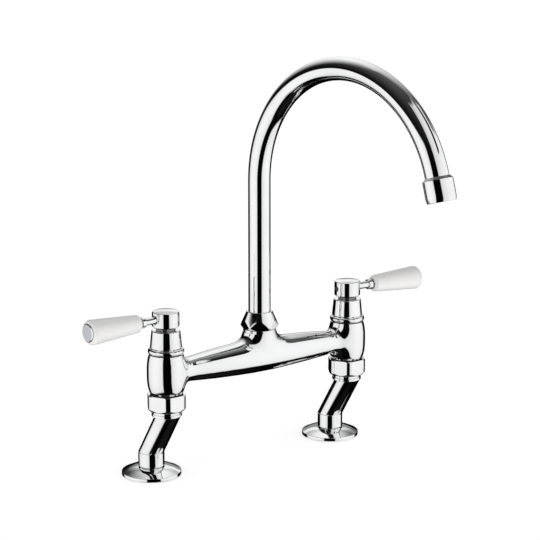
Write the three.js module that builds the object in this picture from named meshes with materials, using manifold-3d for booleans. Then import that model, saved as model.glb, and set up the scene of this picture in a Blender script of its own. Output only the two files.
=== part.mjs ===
// A bridge kitchen tap: two quarter-turn valves joined by a tapered bridge, a swivelling
// swan-neck spout between them, and a cranked leg with a domed flange under each valve.
//
// Millimetres, +Z up. X runs along the bridge, and the user stands on the -Y side. The origin
// lies on the worktop, midway between the two valve axes.
//
// The stack is worked out upwards: flange, leg, union, valve barrel, bonnet, hub and lever. Each
// piece takes its seat from the piece below it, and the spout stands on the bridge.

import * as THREE from 'three';
import { mergeVertices } from 'three/addons/utils/BufferGeometryUtils.js';
import Module from 'manifold-3d';

const wasm = await Module();
wasm.setup();

const degrees = THREE.MathUtils.degToRad;

// ---------------------------------------------------------------------------
// Driving dimensions
// ---------------------------------------------------------------------------

// Clearances
const seat = 0.3; // between two faces that rest on each other
const slide = 0.3; // all round a pin, tube or ring in its hole
const weld = 0.2; // how far two shapes of one casting run into each other

// Layout
const valveSpacing = 180;
const crankThrow = 17.14; // from a valve's axis to the axis of its foot
const crankBearing = 104.8; // the way a foot steps out, from +X towards +Y
const spoutBearing = -83.1; // the way the spout reaches at rest
const leftLeverBearing = 183;
const rightLeverBearing = -3;

// Flange and its seal
const flangeRadius = 23.8;
const flangeRim = 2.8;
const flangeHeight = 6.6;
const flangeLand = 0.8; // flat ring left round the foot
const flangeEdge = 0.6; // softening of its outer edge
const sealInner = 13;
const sealOuter = 21.5;
const sealThickness = 2;

// Cranked leg
const footRadius = 10.5;
const legRadius = 9.5; // the leaning tube
const waterwayRadius = 6.5;
const spigotRadius = 9.6; // passes through the flange
const socketRadius = 7.6; // takes the fixing shank
const socketDepth = 12;
const footLength = 11.9; // from the flange up to the lower elbow
const footGroove = 0.6; // chamfer round the bottom of the foot
const crankRise = 31; // from the lower elbow to where the leaning tube meets the valve's axis
const collarRise = 2.1; // from there up to the collar
const collarLip = 2.6; // how far the collar stands out past the tube
const collarHeight = 4.7;
const collarStep = 0.7; // the upper half of the collar is smaller by this

// Union between leg and valve
const nutAcrossFlats = 29;
const nutHeight = 13.2;
const nutChamfer = 2.2; // round the foot of the nut
const nutTopChamfer = 0.5;
const nutLip = 2.4;
const neckRadius = 9.6;
const neckRim = 1.3; // left above the clip's groove
const clipThickness = 1.4;
const clipDepth = 0.9; // depth of its groove in the neck
const clipOverhang = 2.6; // how far it stands out past the neck
const clipOpening = 40; // degrees
const washerThickness = 1.5;
const tailThread = 12.7; // radius of the valve's male thread

// Valve barrel
const barrelGap = 0.4; // above the union nut
const barrelHeight = 31.4;
const barrelRadius = 15.35;
const barrelFootRadius = 13;
const barrelHeadRadius = 13.5;
const barrelBelly = 3; // the greater, the later the barrel draws in towards its ends
const chamberRadius = 9.2;
const cartridgeThread = 10.4;
const threadLength = 13.5;
const valveSeatHeight = 2.8; // above the barrel's foot

// Bridge and spout boss
const bridgeRise = 15.8; // from the barrel's foot up to the bridge's axis
const bridgeMidRadius = 13.65;
const bridgeEndRadius = 9.1;
const bridgeBow = 1.8; // 1 would be a straight taper
const bridgeFillet = 3.5;
const bridgeWaterway = 5;
const bossHeight = 20.8; // from the bridge's axis to the top of the round boss
const bossRadius = 13.2;
const bossFlare = 16; // how far the boss runs out along the bridge
const bossSweep = 1.5; // 1 would be a straight flare
const shoulderRadius = 13.3; // plain ring on top of the boss
const shoulderHeight = 2.1;
const bossThread = 11.4;
const bossThreadLength = 4.1;
const bushBore = 9;
const bushBoreDepth = 21;

// Spout gland nut
const glandHeight = 14.1;
const glandAcrossFlats = 26.8;
const glandRadius = 15.5;
const glandTopRadius = 10.4;
const glandChamfer = 2.8;
const glandFlatBearing = -126;

// Spout
const tubeRadius = 9;
const tubeWall = 1;
const riserLength = 113.4;
const spoutRadius = 96.3; // bend radius on the tube's axis
const spoutTurn = 164; // degrees
const tubeTail = 6; // straight end inside the housing
const splitRingThickness = 2;
const splitRingWall = 3;
const splitRingOpening = 30; // degrees
const splitRingDepth = 0.9;
const bushSpigotLength = 10;
const bushWall = 1.4;
const ringSection = 0.8; // radius of an O-ring's section
const ringSqueeze = 0.25; // left between an O-ring and its bore, which has flat sides
const spoutRingSpacing = 6;

// Aerator
const housingRadius = 11.4;
const housingLength = 17.5;
const housingChamfer = 2.9;
const housingRounding = 4.5;
const housingMouthRadius = 10.6;
const housingLip = 1.2;
const housingLipWidth = 1.3;
const aeratorSealThickness = 1.5;
const insertLength = 6.6;
const screenThickness = 1;
const insertHoles = 6; // in the ring round the middle hole
const insertHoleRadius = 1.9;
const insertHolePitch = 5.6;

// Bonnet
const beadRadius = 14.35;
const beadHeight = 4.6;
const beadGroove = 0.5; // between the bead and the cone above it
const bonnetHeight = 18.9;
const bonnetFootRadius = 12.6;
const bonnetTopRadius = 11.3;
const bonnetWall = 1.2;
const bonnetRounding = 0.8;

// Cartridge
const cageWall = 1.9;
const headAcrossFlats = 18.6;
const headHeight = 5;
const headFlange = 1.5;
const cartridgeNeck = 7.5;
const neckAboveBonnet = 1.9;
const lowerSealThickness = 3;
const discThickness = 3;
const discHole = 2.2;
const windowHeight = 6;
const windowWidth = 7;
const undercutDepth = 1.5;

// Spindle
const spindleRadius = 4;
const spindleFlange = 4.2; // its thickness
const tongueWidth = 3;
const tongueLength = 9.6;
const tongueDepth = 0.8; // how far the tongue reaches into the moving disc
const spindleInHub = 7.4;

// Hub and lever
const hubGap = 0.6; // turns above the cartridge's neck
const hubRadius = 10.75;
const hubHeight = 13.1;
const hubFootRadius = 9.6;
const hubEdge = 0.9;
const hubCrown = 0.7;
const rodHeight = 6.7; // above the hub's foot
const rodRadius = 3;
const rodInset = 4.75; // how deep the rod sits in the hub
const rodCollarStart = 20.5;
const rodCollarLength = 3.6;
const rodCollarRadius = 4.3;
const rodShankRadius = 2.6;
const rodShankLength = 36;
const sleeveWasherThickness = 0.6;
const sleeveLength = 46.7;
const sleeveSmallRadius = 7;
const sleeveBigRadius = 10;
const sleeveChamfer = 2;
const sleeveRounding = 3;
const capRadius = 7.2;
const capThickness = 0.9;
const capSocketWall = 1.3;
const capSocketLength = 12;
const grubRadius = 2;
const grubLength = 5;
const grubSocket = 1; // radius of its hexagon socket
const grubSocketDepth = 2;

// Numbers of sides: outside faces, inside faces, small turned pieces and the spout
const outsideSides = 18;
const insideSides = 14;
const smallSides = 10;
const spoutSides = 14;
const spoutSteps = 22;
const barrelSteps = 8;
const curveSteps = 4;
const ringSectionSides = 5;
const holeSides = 6;

// ---------------------------------------------------------------------------
// Heights and radii that follow
// ---------------------------------------------------------------------------

const crankAngle = Math.atan2(crankThrow, crankRise);
const footZ = flangeHeight + seat;
const lowerElbowZ = flangeHeight + footLength;
const upperElbowZ = lowerElbowZ + crankRise;
const collarZ = upperElbowZ + collarRise;
const collarTopZ = collarZ + collarHeight;
const collarRadius = legRadius + collarLip;

const nutZ = collarTopZ + seat;
const nutTopZ = nutZ + nutHeight;
const clipZ = nutZ + nutLip + seat;
const neckTopZ = clipZ + clipThickness + seat + neckRim;
const washerZ = neckTopZ + seat;
const tailZ = washerZ + washerThickness + seat;

const barrelZ = nutTopZ + barrelGap;
const barrelTopZ = barrelZ + barrelHeight;
const valveSeatZ = barrelZ + valveSeatHeight;
const bridgeZ = barrelZ + bridgeRise;

const bossTopZ = bridgeZ + bossHeight;
const glandZ = bossTopZ + shoulderHeight + seat;
const bossThreadTopZ = glandZ + bossThreadLength;
const splitRingZ = bossThreadTopZ + seat;
const glandShoulderZ = splitRingZ + splitRingThickness + seat;
const glandTopZ = glandZ + glandHeight;
const bushBoreZ = bossThreadTopZ - bushBoreDepth;
const bushZ = bushBoreZ + seat;
const tubeSeatZ = glandShoulderZ + seat + weld;
const tubeZ = tubeSeatZ + seat;
const arcZ = tubeZ + riserLength;

const bonnetZ = barrelTopZ + seat;
const bonnetTopZ = bonnetZ + bonnetHeight;
const cartridgeNeckZ = bonnetTopZ + neckAboveBonnet;
const hubZ = cartridgeNeckZ + hubGap;
const hubTopZ = hubZ + hubHeight;
const rodZ = hubZ + rodHeight;

const lowerSealZ = valveSeatZ + seat;
const cageZ = lowerSealZ + lowerSealThickness + seat;
const fixedDiscZ = cageZ;
const movingDiscZ = fixedDiscZ + discThickness + seat;
const movingDiscTopZ = movingDiscZ + discThickness;
const windowZ = movingDiscTopZ + seat;
const spindleFlangeZ = windowZ + windowHeight + seat;
const cavityTopZ = spindleFlangeZ + spindleFlange + seat;
const spindleRingZ = (cavityTopZ + cartridgeNeckZ) / 2;
const spindleTopZ = hubZ + spindleInHub;
const cageRadius = chamberRadius - slide;
const cavityRadius = cageRadius - cageWall;
const discRadius = cavityRadius - slide;

const rodStart = hubRadius - rodInset;
const sleeveWasherStart = rodCollarStart + rodCollarLength + seat;
const sleeveStart = sleeveWasherStart + sleeveWasherThickness + seat;
const sleeveEnd = sleeveStart + sleeveLength;

// ---------------------------------------------------------------------------
// Shapes
// ---------------------------------------------------------------------------

// A closed body round the Z axis. The outline is a list of [radius, height] points that starts
// and ends on the axis, or whose last point joins the first round a ring.
function turned(outline, sides) {
  const isRing = outline[0][0] > 0;
  const closed = isRing ? [...outline, outline[0]] : outline;
  const points = closed.map(([radius, height]) => new THREE.Vector2(radius, height));
  return new THREE.LatheGeometry(points, sides).rotateX(Math.PI / 2);
}

// A washer or sleeve with plain faces.
function ring(inner, outer, bottom, top, sides) {
  return turned([[inner, bottom], [outer, bottom], [outer, top], [inner, top]], sides);
}

function disc(radius, bottom, top, sides) {
  return turned([[0, bottom], [radius, bottom], [radius, top], [0, top]], sides);
}

// An O-ring: a round section carried round the axis at a height.
function roundRing(middle, section, height, sides) {
  const outline = [];
  for (let i = 0; i < ringSectionSides; i += 1) {
    const angle = (2 * Math.PI * i) / ringSectionSides;
    outline.push([middle + section * Math.cos(angle), height + section * Math.sin(angle)]);
  }
  return turned(outline, sides);
}

// A straight prism with six flats. A corner points the way of the bearing.
function hexagon(acrossFlats, bottom, top, bearing) {
  const corner = acrossFlats / 2 / Math.cos(Math.PI / 6);
  const prism = new THREE.CylinderGeometry(corner, corner, top - bottom, 6);
  prism.rotateX(Math.PI / 2).rotateZ(degrees(bearing) + Math.PI / 2);
  return prism.translate(0, 0, (bottom + top) / 2);
}

function box(sizeX, sizeY, bottom, top) {
  return new THREE.BoxGeometry(sizeX, sizeY, top - bottom).translate(0, 0, (bottom + top) / 2);
}

// Turns an upright body on its side, so that its height runs outwards along X.
function along(geometry) {
  return geometry.rotateY(Math.PI / 2);
}

// Points of a quarter round between a face and a side, from one angle to another.
function arc(centreRadius, centreHeight, radius, from, to, steps) {
  const points = [];
  for (let i = 0; i <= steps; i += 1) {
    const angle = degrees(from + ((to - from) * i) / steps);
    points.push([centreRadius + radius * Math.cos(angle), centreHeight + radius * Math.sin(angle)]);
  }
  return points;
}

// A closed mesh as a solid. Corners that meet are merged, and faces shrunk to nothing dropped.
function solid(geometry) {
  const bare = geometry.clone();
  bare.deleteAttribute('normal');
  bare.deleteAttribute('uv');
  const merged = mergeVertices(bare, 1e-4);
  const corners = merged.index.array;
  const faces = [];
  for (let i = 0; i < corners.length; i += 3) {
    const [a, b, c] = [corners[i], corners[i + 1], corners[i + 2]];
    if (a !== b && b !== c && c !== a) faces.push(a, b, c);
  }
  return new wasm.Manifold(new wasm.Mesh({
    numProp: 3,
    vertProperties: new Float32Array(merged.attributes.position.array),
    triVerts: new Uint32Array(faces),
  }));
}

function join(...geometries) {
  return geometries.map(solid).reduce((whole, next) => whole.add(next));
}

function cut(whole, ...geometries) {
  return geometries.map(solid).reduce((rest, tool) => rest.subtract(tool), whole);
}

// A leaning tube of a leg, with level ends. Its axis crosses the foot's axis at the lower elbow
// and the valve's axis at the upper one.
function leaning(radius, bottom, top, sides) {
  const geometry = disc(radius, 0, 1, sides);
  const corners = geometry.attributes.position;
  for (let i = 0; i < corners.count; i += 1) {
    const z = corners.getZ(i) > 0 ? top : bottom;
    const middle = Math.tan(crankAngle) * (upperElbowZ - z);
    corners.setXYZ(i, middle + corners.getX(i) / Math.cos(crankAngle), corners.getY(i), z);
  }
  return geometry;
}

// A point and the direction of the spout's axis, in the plane of the spout, at an angle round
// its bend.
function spoutAxis(angle) {
  return {
    x: spoutRadius * (1 - Math.cos(angle)),
    z: arcZ + spoutRadius * Math.sin(angle),
    angle,
  };
}

// Carries a turned body onto the spout's axis: level 0 is the foot of the tube, the next levels
// follow the bend, and the last is the end of its straight tail.
function bentTube(outer, inner, sides) {
  const stations = [{ x: 0, z: tubeZ, angle: 0 }];
  for (let i = 0; i <= spoutSteps; i += 1) {
    stations.push(spoutAxis(degrees((spoutTurn * i) / spoutSteps)));
  }
  const end = stations.at(-1);
  stations.push({
    x: end.x + tubeTail * Math.sin(end.angle),
    z: end.z + tubeTail * Math.cos(end.angle),
    angle: end.angle,
  });
  const up = stations.map((_, level) => [outer, level]);
  const down = stations.map((_, level) => [inner, level]).reverse();
  const geometry = turned([...up, ...down], sides);
  const corners = geometry.attributes.position;
  for (let i = 0; i < corners.count; i += 1) {
    const [x, y] = [corners.getX(i), corners.getY(i)];
    const station = stations[Math.round(corners.getZ(i))];
    corners.setXYZ(
      i,
      station.x + x * Math.cos(station.angle),
      y,
      station.z - x * Math.sin(station.angle),
    );
  }
  return geometry;
}

// A split ring: a ring with a wedge taken out on its +X side.
function splitRing(inner, outer, bottom, top, opening) {
  const reach = outer * 2;
  const half = Math.tan(degrees(opening / 2)) * reach;
  const wedge = new THREE.Shape();
  wedge.moveTo(0, 0);
  wedge.lineTo(reach, -half);
  wedge.lineTo(reach, half);
  const depth = top - bottom + 2 * weld;
  const slot = new THREE.ExtrudeGeometry(wedge, { depth, bevelEnabled: false });
  return cut(solid(ring(inner, outer, bottom, top, insideSides)), slot.translate(0, 0, bottom - weld));
}

// ---------------------------------------------------------------------------
// Finishes
// ---------------------------------------------------------------------------

const chrome = { color: 0xdde1e5, roughness: 0.05, metalness: 1 };
const satinChrome = { color: 0xb4b9bd, roughness: 0.3, metalness: 1 };
const brass = { color: 0xc9a24a, roughness: 0.3, metalness: 1 };
const steel = { color: 0xa3a7aa, roughness: 0.3, metalness: 1 };
const ceramic = { color: 0xe9e8e2, roughness: 0.35, metalness: 0 };
const alumina = { color: 0xf3f1ea, roughness: 0.4, metalness: 0 };
const rubber = { color: 0x1c1c1c, roughness: 0.8, metalness: 0 };
const fibre = { color: 0x7d3328, roughness: 0.8, metalness: 0 };
const nylon = { color: 0xeeeeea, roughness: 0.5, metalness: 0 };

function piece(name, body, finish) {
  const { vertProperties, triVerts } = body.getMesh();
  const geometry = new THREE.BufferGeometry();
  geometry.setAttribute('position', new THREE.BufferAttribute(vertProperties, 3));
  geometry.setIndex(new THREE.BufferAttribute(triVerts, 1));
  geometry.computeVertexNormals();
  const mesh = new THREE.Mesh(geometry, new THREE.MeshStandardMaterial(finish));
  mesh.name = name;
  return mesh;
}

// Pieces in a frame of their own: moved to x and z, turned about Z by a bearing, or tilted so
// that their height leans towards +X.
function group(pieces, { x = 0, z = 0, bearing = 0, tilt = 0 } = {}) {
  const whole = new THREE.Group();
  whole.add(...pieces);
  whole.position.set(x, 0, z);
  whole.rotation.set(0, degrees(tilt), degrees(bearing));
  return whole;
}

// ---------------------------------------------------------------------------
// Flange and leg, with the foot on +X of the valve's axis
// ---------------------------------------------------------------------------

function baseFlange() {
  const landRadius = footRadius + flangeLand;
  const bore = spigotRadius + slide;
  const crown = new THREE.QuadraticBezierCurve(
    new THREE.Vector2(flangeRadius - flangeEdge, flangeRim),
    new THREE.Vector2((flangeRadius + landRadius) / 2, flangeHeight - flangeEdge),
    new THREE.Vector2(landRadius, flangeHeight),
  );
  const body = solid(turned([
    [bore, 0],
    [flangeRadius, 0],
    [flangeRadius, flangeRim - flangeEdge],
    ...crown.getPoints(curveSteps).map((point) => [point.x, point.y]),
    [bore, flangeHeight],
  ], outsideSides));
  const recess = ring(sealInner - slide, sealOuter + slide, -weld, sealThickness + seat, outsideSides);
  return cut(body, recess).translate(crankThrow, 0, 0);
}

function flangeSeal() {
  return solid(ring(sealInner, sealOuter, 0, sealThickness, outsideSides).translate(crankThrow, 0, 0));
}

function crankedLeg() {
  const clipGroove = neckRadius - clipDepth;
  const stepZ = collarZ + collarHeight / 2;
  const foot = turned([
    [0, seat],
    [spigotRadius, seat],
    [spigotRadius, footZ],
    [footRadius - footGroove, footZ],
    [footRadius, footZ + footGroove],
    [footRadius, lowerElbowZ],
    [0, lowerElbowZ],
  ], outsideSides).translate(crankThrow, 0, 0);
  const collar = turned([
    [0, collarZ],
    [collarRadius, collarZ],
    [collarRadius, stepZ],
    [collarRadius - collarStep, stepZ],
    [collarRadius - collarStep, collarTopZ],
    [neckRadius, collarTopZ],
    [neckRadius, clipZ - seat],
    [clipGroove, clipZ - seat],
    [clipGroove, clipZ + clipThickness + seat],
    [neckRadius, clipZ + clipThickness + seat],
    [neckRadius, neckTopZ],
    [0, neckTopZ],
  ], outsideSides);
  const tube = leaning(legRadius, lowerElbowZ - weld, collarZ + weld, outsideSides);
  const waterway = leaning(waterwayRadius, lowerElbowZ - weld, upperElbowZ + weld, insideSides);
  const footBore = disc(waterwayRadius, socketDepth, lowerElbowZ, insideSides);
  const socket = disc(socketRadius, 0, seat + socketDepth, insideSides);
  const neckBore = disc(waterwayRadius, upperElbowZ, neckTopZ + weld, insideSides);
  return cut(
    join(foot, collar, tube),
    waterway,
    footBore.translate(crankThrow, 0, 0),
    socket.translate(crankThrow, 0, 0),
    neckBore,
  );
}

function unionClip() {
  const inner = neckRadius - clipDepth + slide;
  const outer = neckRadius + clipOverhang;
  return splitRing(inner, outer, clipZ, clipZ + clipThickness, clipOpening);
}

// ---------------------------------------------------------------------------
// Union nut and washer, on the valve's axis
// ---------------------------------------------------------------------------

function unionNut() {
  const corner = nutAcrossFlats / 2 / Math.cos(Math.PI / 6);
  const prism = solid(hexagon(nutAcrossFlats, nutZ, nutTopZ, 0));
  const envelope = solid(turned([
    [0, nutZ],
    [corner - nutChamfer, nutZ],
    [corner, nutZ + nutChamfer],
    [corner, nutTopZ - nutTopChamfer],
    [corner - nutTopChamfer, nutTopZ],
    [0, nutTopZ],
  ], outsideSides));
  const lipHole = disc(neckRadius + slide, nutZ - weld, nutTopZ, outsideSides);
  const thread = disc(tailThread + slide, nutZ + nutLip, nutTopZ + weld, outsideSides);
  return cut(prism.intersect(envelope), lipHole, thread);
}

function unionWasher() {
  return solid(ring(
    waterwayRadius + slide,
    tailThread - slide,
    washerZ,
    washerZ + washerThickness,
    insideSides,
  ));
}

// ---------------------------------------------------------------------------
// Bridge body: two barrels, the bridge and the spout boss
// ---------------------------------------------------------------------------

function barrel() {
  const outline = [[0, tailZ], [tailThread, tailZ], [tailThread, barrelZ]];
  for (let i = 0; i <= barrelSteps; i += 1) {
    const level = (2 * i) / barrelSteps - 1;
    const end = level < 0 ? barrelFootRadius : barrelHeadRadius;
    const radius = barrelRadius - (barrelRadius - end) * Math.abs(level) ** barrelBelly;
    outline.push([radius, barrelZ + (barrelHeight * i) / barrelSteps]);
  }
  outline.push([0, barrelTopZ]);
  return turned(outline, outsideSides);
}

// The bridge is thickest under the spout. Its last stretch swells into a fillet at the barrel.
function bridge() {
  const reach = valveSpacing / 2 - barrelRadius;
  const radiusAt = (x) => {
    const share = Math.abs(x) / reach;
    const bow = (bridgeMidRadius - bridgeEndRadius) * share ** bridgeBow;
    const near = Math.min(Math.max(Math.abs(x) - (reach - bridgeFillet), 0), bridgeFillet);
    const swell = bridgeFillet - Math.sqrt(bridgeFillet ** 2 - near ** 2);
    return bridgeMidRadius - bow + swell;
  };
  const half = [0.25, 0.5, 0.75].map((share) => share * reach);
  half.push(reach - bridgeFillet, reach - bridgeFillet / 3, reach);
  const places = [...half.map((x) => -x).reverse(), 0, ...half];
  const outline = [[0, -reach - barrelRadius / 2], [radiusAt(reach), -reach - barrelRadius / 2]];
  places.forEach((x) => outline.push([radiusAt(x), x]));
  outline.push([radiusAt(reach), reach + barrelRadius / 2], [0, reach + barrelRadius / 2]);
  return along(turned(outline, outsideSides)).translate(0, 0, bridgeZ);
}

// The boss stands on the bridge. Along X it runs out in a flare, and across the bridge it goes
// straight down, level with the bridge's sides.
function spoutBoss() {
  const flareAt = (z) => (Math.max(bossTopZ - z, 0) / bossHeight) ** bossSweep * bossFlare;
  const outline = [[0, bridgeZ]];
  for (let i = 0; i <= curveSteps; i += 1) {
    const z = bridgeZ + (bossHeight * i) / curveSteps;
    outline.push([bossRadius + flareAt(z), z]);
  }
  outline.push([0, bossTopZ]);
  const geometry = turned(outline, outsideSides);
  const corners = geometry.attributes.position;
  for (let i = 0; i < corners.count; i += 1) {
    const narrowing = bossRadius / (bossRadius + flareAt(corners.getZ(i)));
    corners.setY(i, corners.getY(i) * narrowing);
  }
  return geometry;
}

function bridgeBody() {
  const half = valveSpacing / 2;
  const shoulder = disc(shoulderRadius, bossTopZ - weld, bossTopZ + shoulderHeight, outsideSides);
  const neck = disc(bossThread, bossTopZ, bossThreadTopZ, outsideSides);
  const whole = join(
    bridge(),
    spoutBoss(),
    shoulder,
    neck,
    barrel().translate(-half, 0, 0),
    barrel().translate(half, 0, 0),
  );
  const valveBores = [-half, half].flatMap((x) => [
    disc(waterwayRadius, tailZ - weld, barrelTopZ, insideSides),
    disc(chamberRadius, valveSeatZ, barrelTopZ, insideSides),
    disc(cartridgeThread, barrelTopZ - threadLength, barrelTopZ + weld, insideSides),
  ].map((bore) => bore.translate(x, 0, 0)));
  const waterway = along(disc(bridgeWaterway, -half, half, smallSides)).translate(0, 0, bridgeZ);
  const mixing = disc(waterwayRadius, bridgeZ - bridgeWaterway, bossTopZ, insideSides);
  const socket = disc(bushBore, bushBoreZ, bossThreadTopZ + weld, insideSides);
  return cut(whole, ...valveBores, waterway, mixing, socket);
}

// ---------------------------------------------------------------------------
// Gland nut and spout, the spout reaching towards +X
// ---------------------------------------------------------------------------

function glandNut() {
  const body = solid(turned([
    [0, glandZ],
    [bossRadius, glandZ],
    [glandRadius, glandZ + glandChamfer],
    [glandTopRadius, glandTopZ],
    [0, glandTopZ],
  ], outsideSides));
  const flats = solid(hexagon(glandAcrossFlats, glandZ - weld, glandTopZ + weld, glandFlatBearing + 30));
  const thread = disc(bossThread + slide, glandZ - weld, glandShoulderZ, insideSides);
  const hole = disc(tubeRadius + slide, glandShoulderZ - weld, glandTopZ + weld, insideSides);
  return cut(body.intersect(flats), thread, hole);
}

function spoutTube() {
  return solid(bentTube(tubeRadius, tubeRadius - tubeWall, spoutSides));
}

const bushRadius = bushBore - slide;
const spoutRingMiddle = bushBore - ringSqueeze - ringSection;
const spoutRingHeights = [1, 2].map((count) => bushZ + count * spoutRingSpacing);

function baseBush() {
  const spigot = tubeRadius - tubeWall - slide;
  const ringGroove = spoutRingMiddle - ringSection - ringSqueeze;
  const splitGroove = bushRadius - splitRingDepth;
  const half = ringSection + seat;
  const outline = [[spigot - bushWall, bushZ], [bushRadius, bushZ]];
  spoutRingHeights.forEach((z) => {
    outline.push([bushRadius, z - half], [ringGroove, z - half]);
    outline.push([ringGroove, z + half], [bushRadius, z + half]);
  });
  outline.push(
    [bushRadius, splitRingZ - seat],
    [splitGroove, splitRingZ - seat],
    [splitGroove, glandShoulderZ],
    [bushRadius, glandShoulderZ],
    [bushRadius, tubeSeatZ],
    [spigot, tubeSeatZ],
    [spigot, tubeSeatZ + bushSpigotLength],
    [spigot - bushWall, tubeSeatZ + bushSpigotLength],
  );
  return solid(turned(outline, insideSides));
}

function spoutSplitRing() {
  const inner = bushRadius - splitRingDepth + slide;
  const top = splitRingZ + splitRingThickness;
  return splitRing(inner, inner + splitRingWall, splitRingZ, top, splitRingOpening);
}

// The aerator's heights run along the flow, from the end of the spout's bend.
const insertRadius = tubeRadius + slide;
const housingBore = insertRadius + slide;
const aeratorSealEnd = tubeTail + seat + aeratorSealThickness;
const insertEnd = aeratorSealEnd + seat + insertLength;
const screenEnd = insertEnd + seat + screenThickness;
const lipStart = screenEnd + seat;

function aeratorHousing() {
  const mouth = housingLength - housingRounding;
  const edge = new THREE.QuadraticBezierCurve(
    new THREE.Vector2(housingRadius, mouth),
    new THREE.Vector2(housingRadius, (mouth + housingLength) / 2),
    new THREE.Vector2(housingMouthRadius, housingLength),
  );
  const lipBore = housingBore - housingLipWidth;
  return solid(turned([
    [tubeRadius + slide, 0],
    [housingRadius, housingChamfer],
    ...edge.getPoints(3).map((point) => [point.x, point.y]),
    [lipBore, lipStart + housingLip],
    [lipBore, lipStart],
    [housingBore, lipStart],
    [housingBore, tubeTail],
    [tubeRadius + slide, tubeTail],
  ], outsideSides));
}

function aeratorSeal() {
  const start = tubeTail + seat;
  const inner = tubeRadius - 2 * tubeWall;
  return solid(ring(inner, insertRadius, start, aeratorSealEnd, insideSides));
}

// A round plate with one hole in the middle and a ring of holes round it.
function perforated(start, end) {
  const hole = () => disc(insertHoleRadius, start - weld, end + weld, holeSides);
  const holes = [hole()];
  for (let i = 0; i < insertHoles; i += 1) {
    holes.push(hole().translate(insertHolePitch, 0, 0).rotateZ((2 * Math.PI * i) / insertHoles));
  }
  return cut(solid(disc(insertRadius, start, end, insideSides)), ...holes);
}

function aeratorInsert() {
  return perforated(aeratorSealEnd + seat, insertEnd);
}

function aeratorScreen() {
  return perforated(insertEnd + seat, screenEnd);
}

// ---------------------------------------------------------------------------
// Cartridge and bonnet, on the valve's axis
// ---------------------------------------------------------------------------

function cartridgeBody() {
  const threadRadius = cartridgeThread - slide;
  const threadFootZ = barrelTopZ - threadLength + seat;
  const undercutZ = barrelTopZ - 2 * (ringSection + seat);
  const undercutRadius = threadRadius - undercutDepth;
  const rimRadius = bonnetFootRadius - bonnetWall - slide;
  const headZ = bonnetZ + headFlange;
  const headTopZ = bonnetZ + headHeight;
  const turnedPart = turned([
    [0, cageZ],
    [cageRadius, cageZ],
    [cageRadius, threadFootZ],
    [threadRadius, threadFootZ],
    [threadRadius, undercutZ],
    [undercutRadius, undercutZ],
    [undercutRadius, bonnetZ],
    [rimRadius, bonnetZ],
    [rimRadius, headZ],
    [cartridgeNeck, headZ],
    [cartridgeNeck, cartridgeNeckZ],
    [0, cartridgeNeckZ],
  ], insideSides);
  const head = hexagon(headAcrossFlats, headZ - weld, headTopZ, 0);
  const cavity = disc(cavityRadius, cageZ - weld, cavityTopZ, insideSides);
  const bore = disc(spindleRadius + slide, cageZ, cartridgeNeckZ + weld, insideSides);
  const windows = box(2 * cartridgeThread, windowWidth, windowZ, windowZ + windowHeight);
  return cut(join(turnedPart, head), cavity, bore, windows);
}

function cartridgeSeal() {
  const top = lowerSealZ + lowerSealThickness;
  return solid(ring(waterwayRadius - slide, cageRadius, lowerSealZ, top, insideSides));
}

function cartridgeRing() {
  const undercutRadius = cartridgeThread - slide - undercutDepth;
  const section = (cartridgeThread - undercutRadius) / 2 - ringSqueeze;
  const middle = (cartridgeThread + undercutRadius) / 2;
  return solid(roundRing(middle, section, barrelTopZ - ringSection - seat, insideSides));
}

// The two ceramic discs have the same pair of holes. A quarter turn brings them into line.
function valveDisc(bottom, holeBearing) {
  const offset = discRadius / 2;
  const holes = [0, 180].map((bearing) => {
    const hole = disc(discHole, bottom - weld, bottom + discThickness + weld, smallSides);
    return hole.translate(offset, 0, 0).rotateZ(degrees(bearing + holeBearing));
  });
  return cut(solid(disc(discRadius, bottom, bottom + discThickness, insideSides)), ...holes);
}

function movingDisc() {
  const slotBottom = movingDiscTopZ - tongueDepth - seat;
  const slot = box(tongueLength + 2 * slide, tongueWidth + 2 * slide, slotBottom, movingDiscTopZ + weld);
  return cut(valveDisc(movingDiscZ, 90), slot);
}

const spindleRingMiddle = spindleRadius + slide - ringSqueeze - ringSection;

function valveSpindle() {
  const groove = spindleRingMiddle - ringSection - ringSqueeze;
  const half = ringSection + seat;
  const shaft = turned([
    [0, spindleFlangeZ],
    [discRadius, spindleFlangeZ],
    [discRadius, spindleFlangeZ + spindleFlange],
    [spindleRadius, spindleFlangeZ + spindleFlange],
    [spindleRadius, spindleRingZ - half],
    [groove, spindleRingZ - half],
    [groove, spindleRingZ + half],
    [spindleRadius, spindleRingZ + half],
    [spindleRadius, spindleTopZ],
    [0, spindleTopZ],
  ], insideSides);
  const tongue = box(tongueLength, tongueWidth, movingDiscTopZ - tongueDepth, spindleFlangeZ + weld);
  return join(shaft, tongue);
}

function bonnet() {
  const beadMiddle = bonnetZ + beadHeight / 2;
  const bead = arc(beadRadius - beadHeight / 2, beadMiddle, beadHeight / 2, -90, 90, curveSteps);
  const coneFootZ = bonnetZ + beadHeight + beadGroove;
  const roof = bonnetTopZ - 2 * bonnetWall;
  const hole = cartridgeNeck + slide;
  return solid(turned([
    [bonnetFootRadius - bonnetWall, bonnetZ],
    ...bead,
    [bonnetFootRadius, coneFootZ],
    [bonnetTopRadius, bonnetTopZ - bonnetRounding],
    [bonnetTopRadius - bonnetRounding, bonnetTopZ],
    [hole, bonnetTopZ],
    [hole, roof],
    [bonnetTopRadius - bonnetWall, roof],
    [bonnetFootRadius - bonnetWall, coneFootZ],
  ], outsideSides));
}

// ---------------------------------------------------------------------------
// Hub and lever, the lever reaching towards +X
// ---------------------------------------------------------------------------

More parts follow.
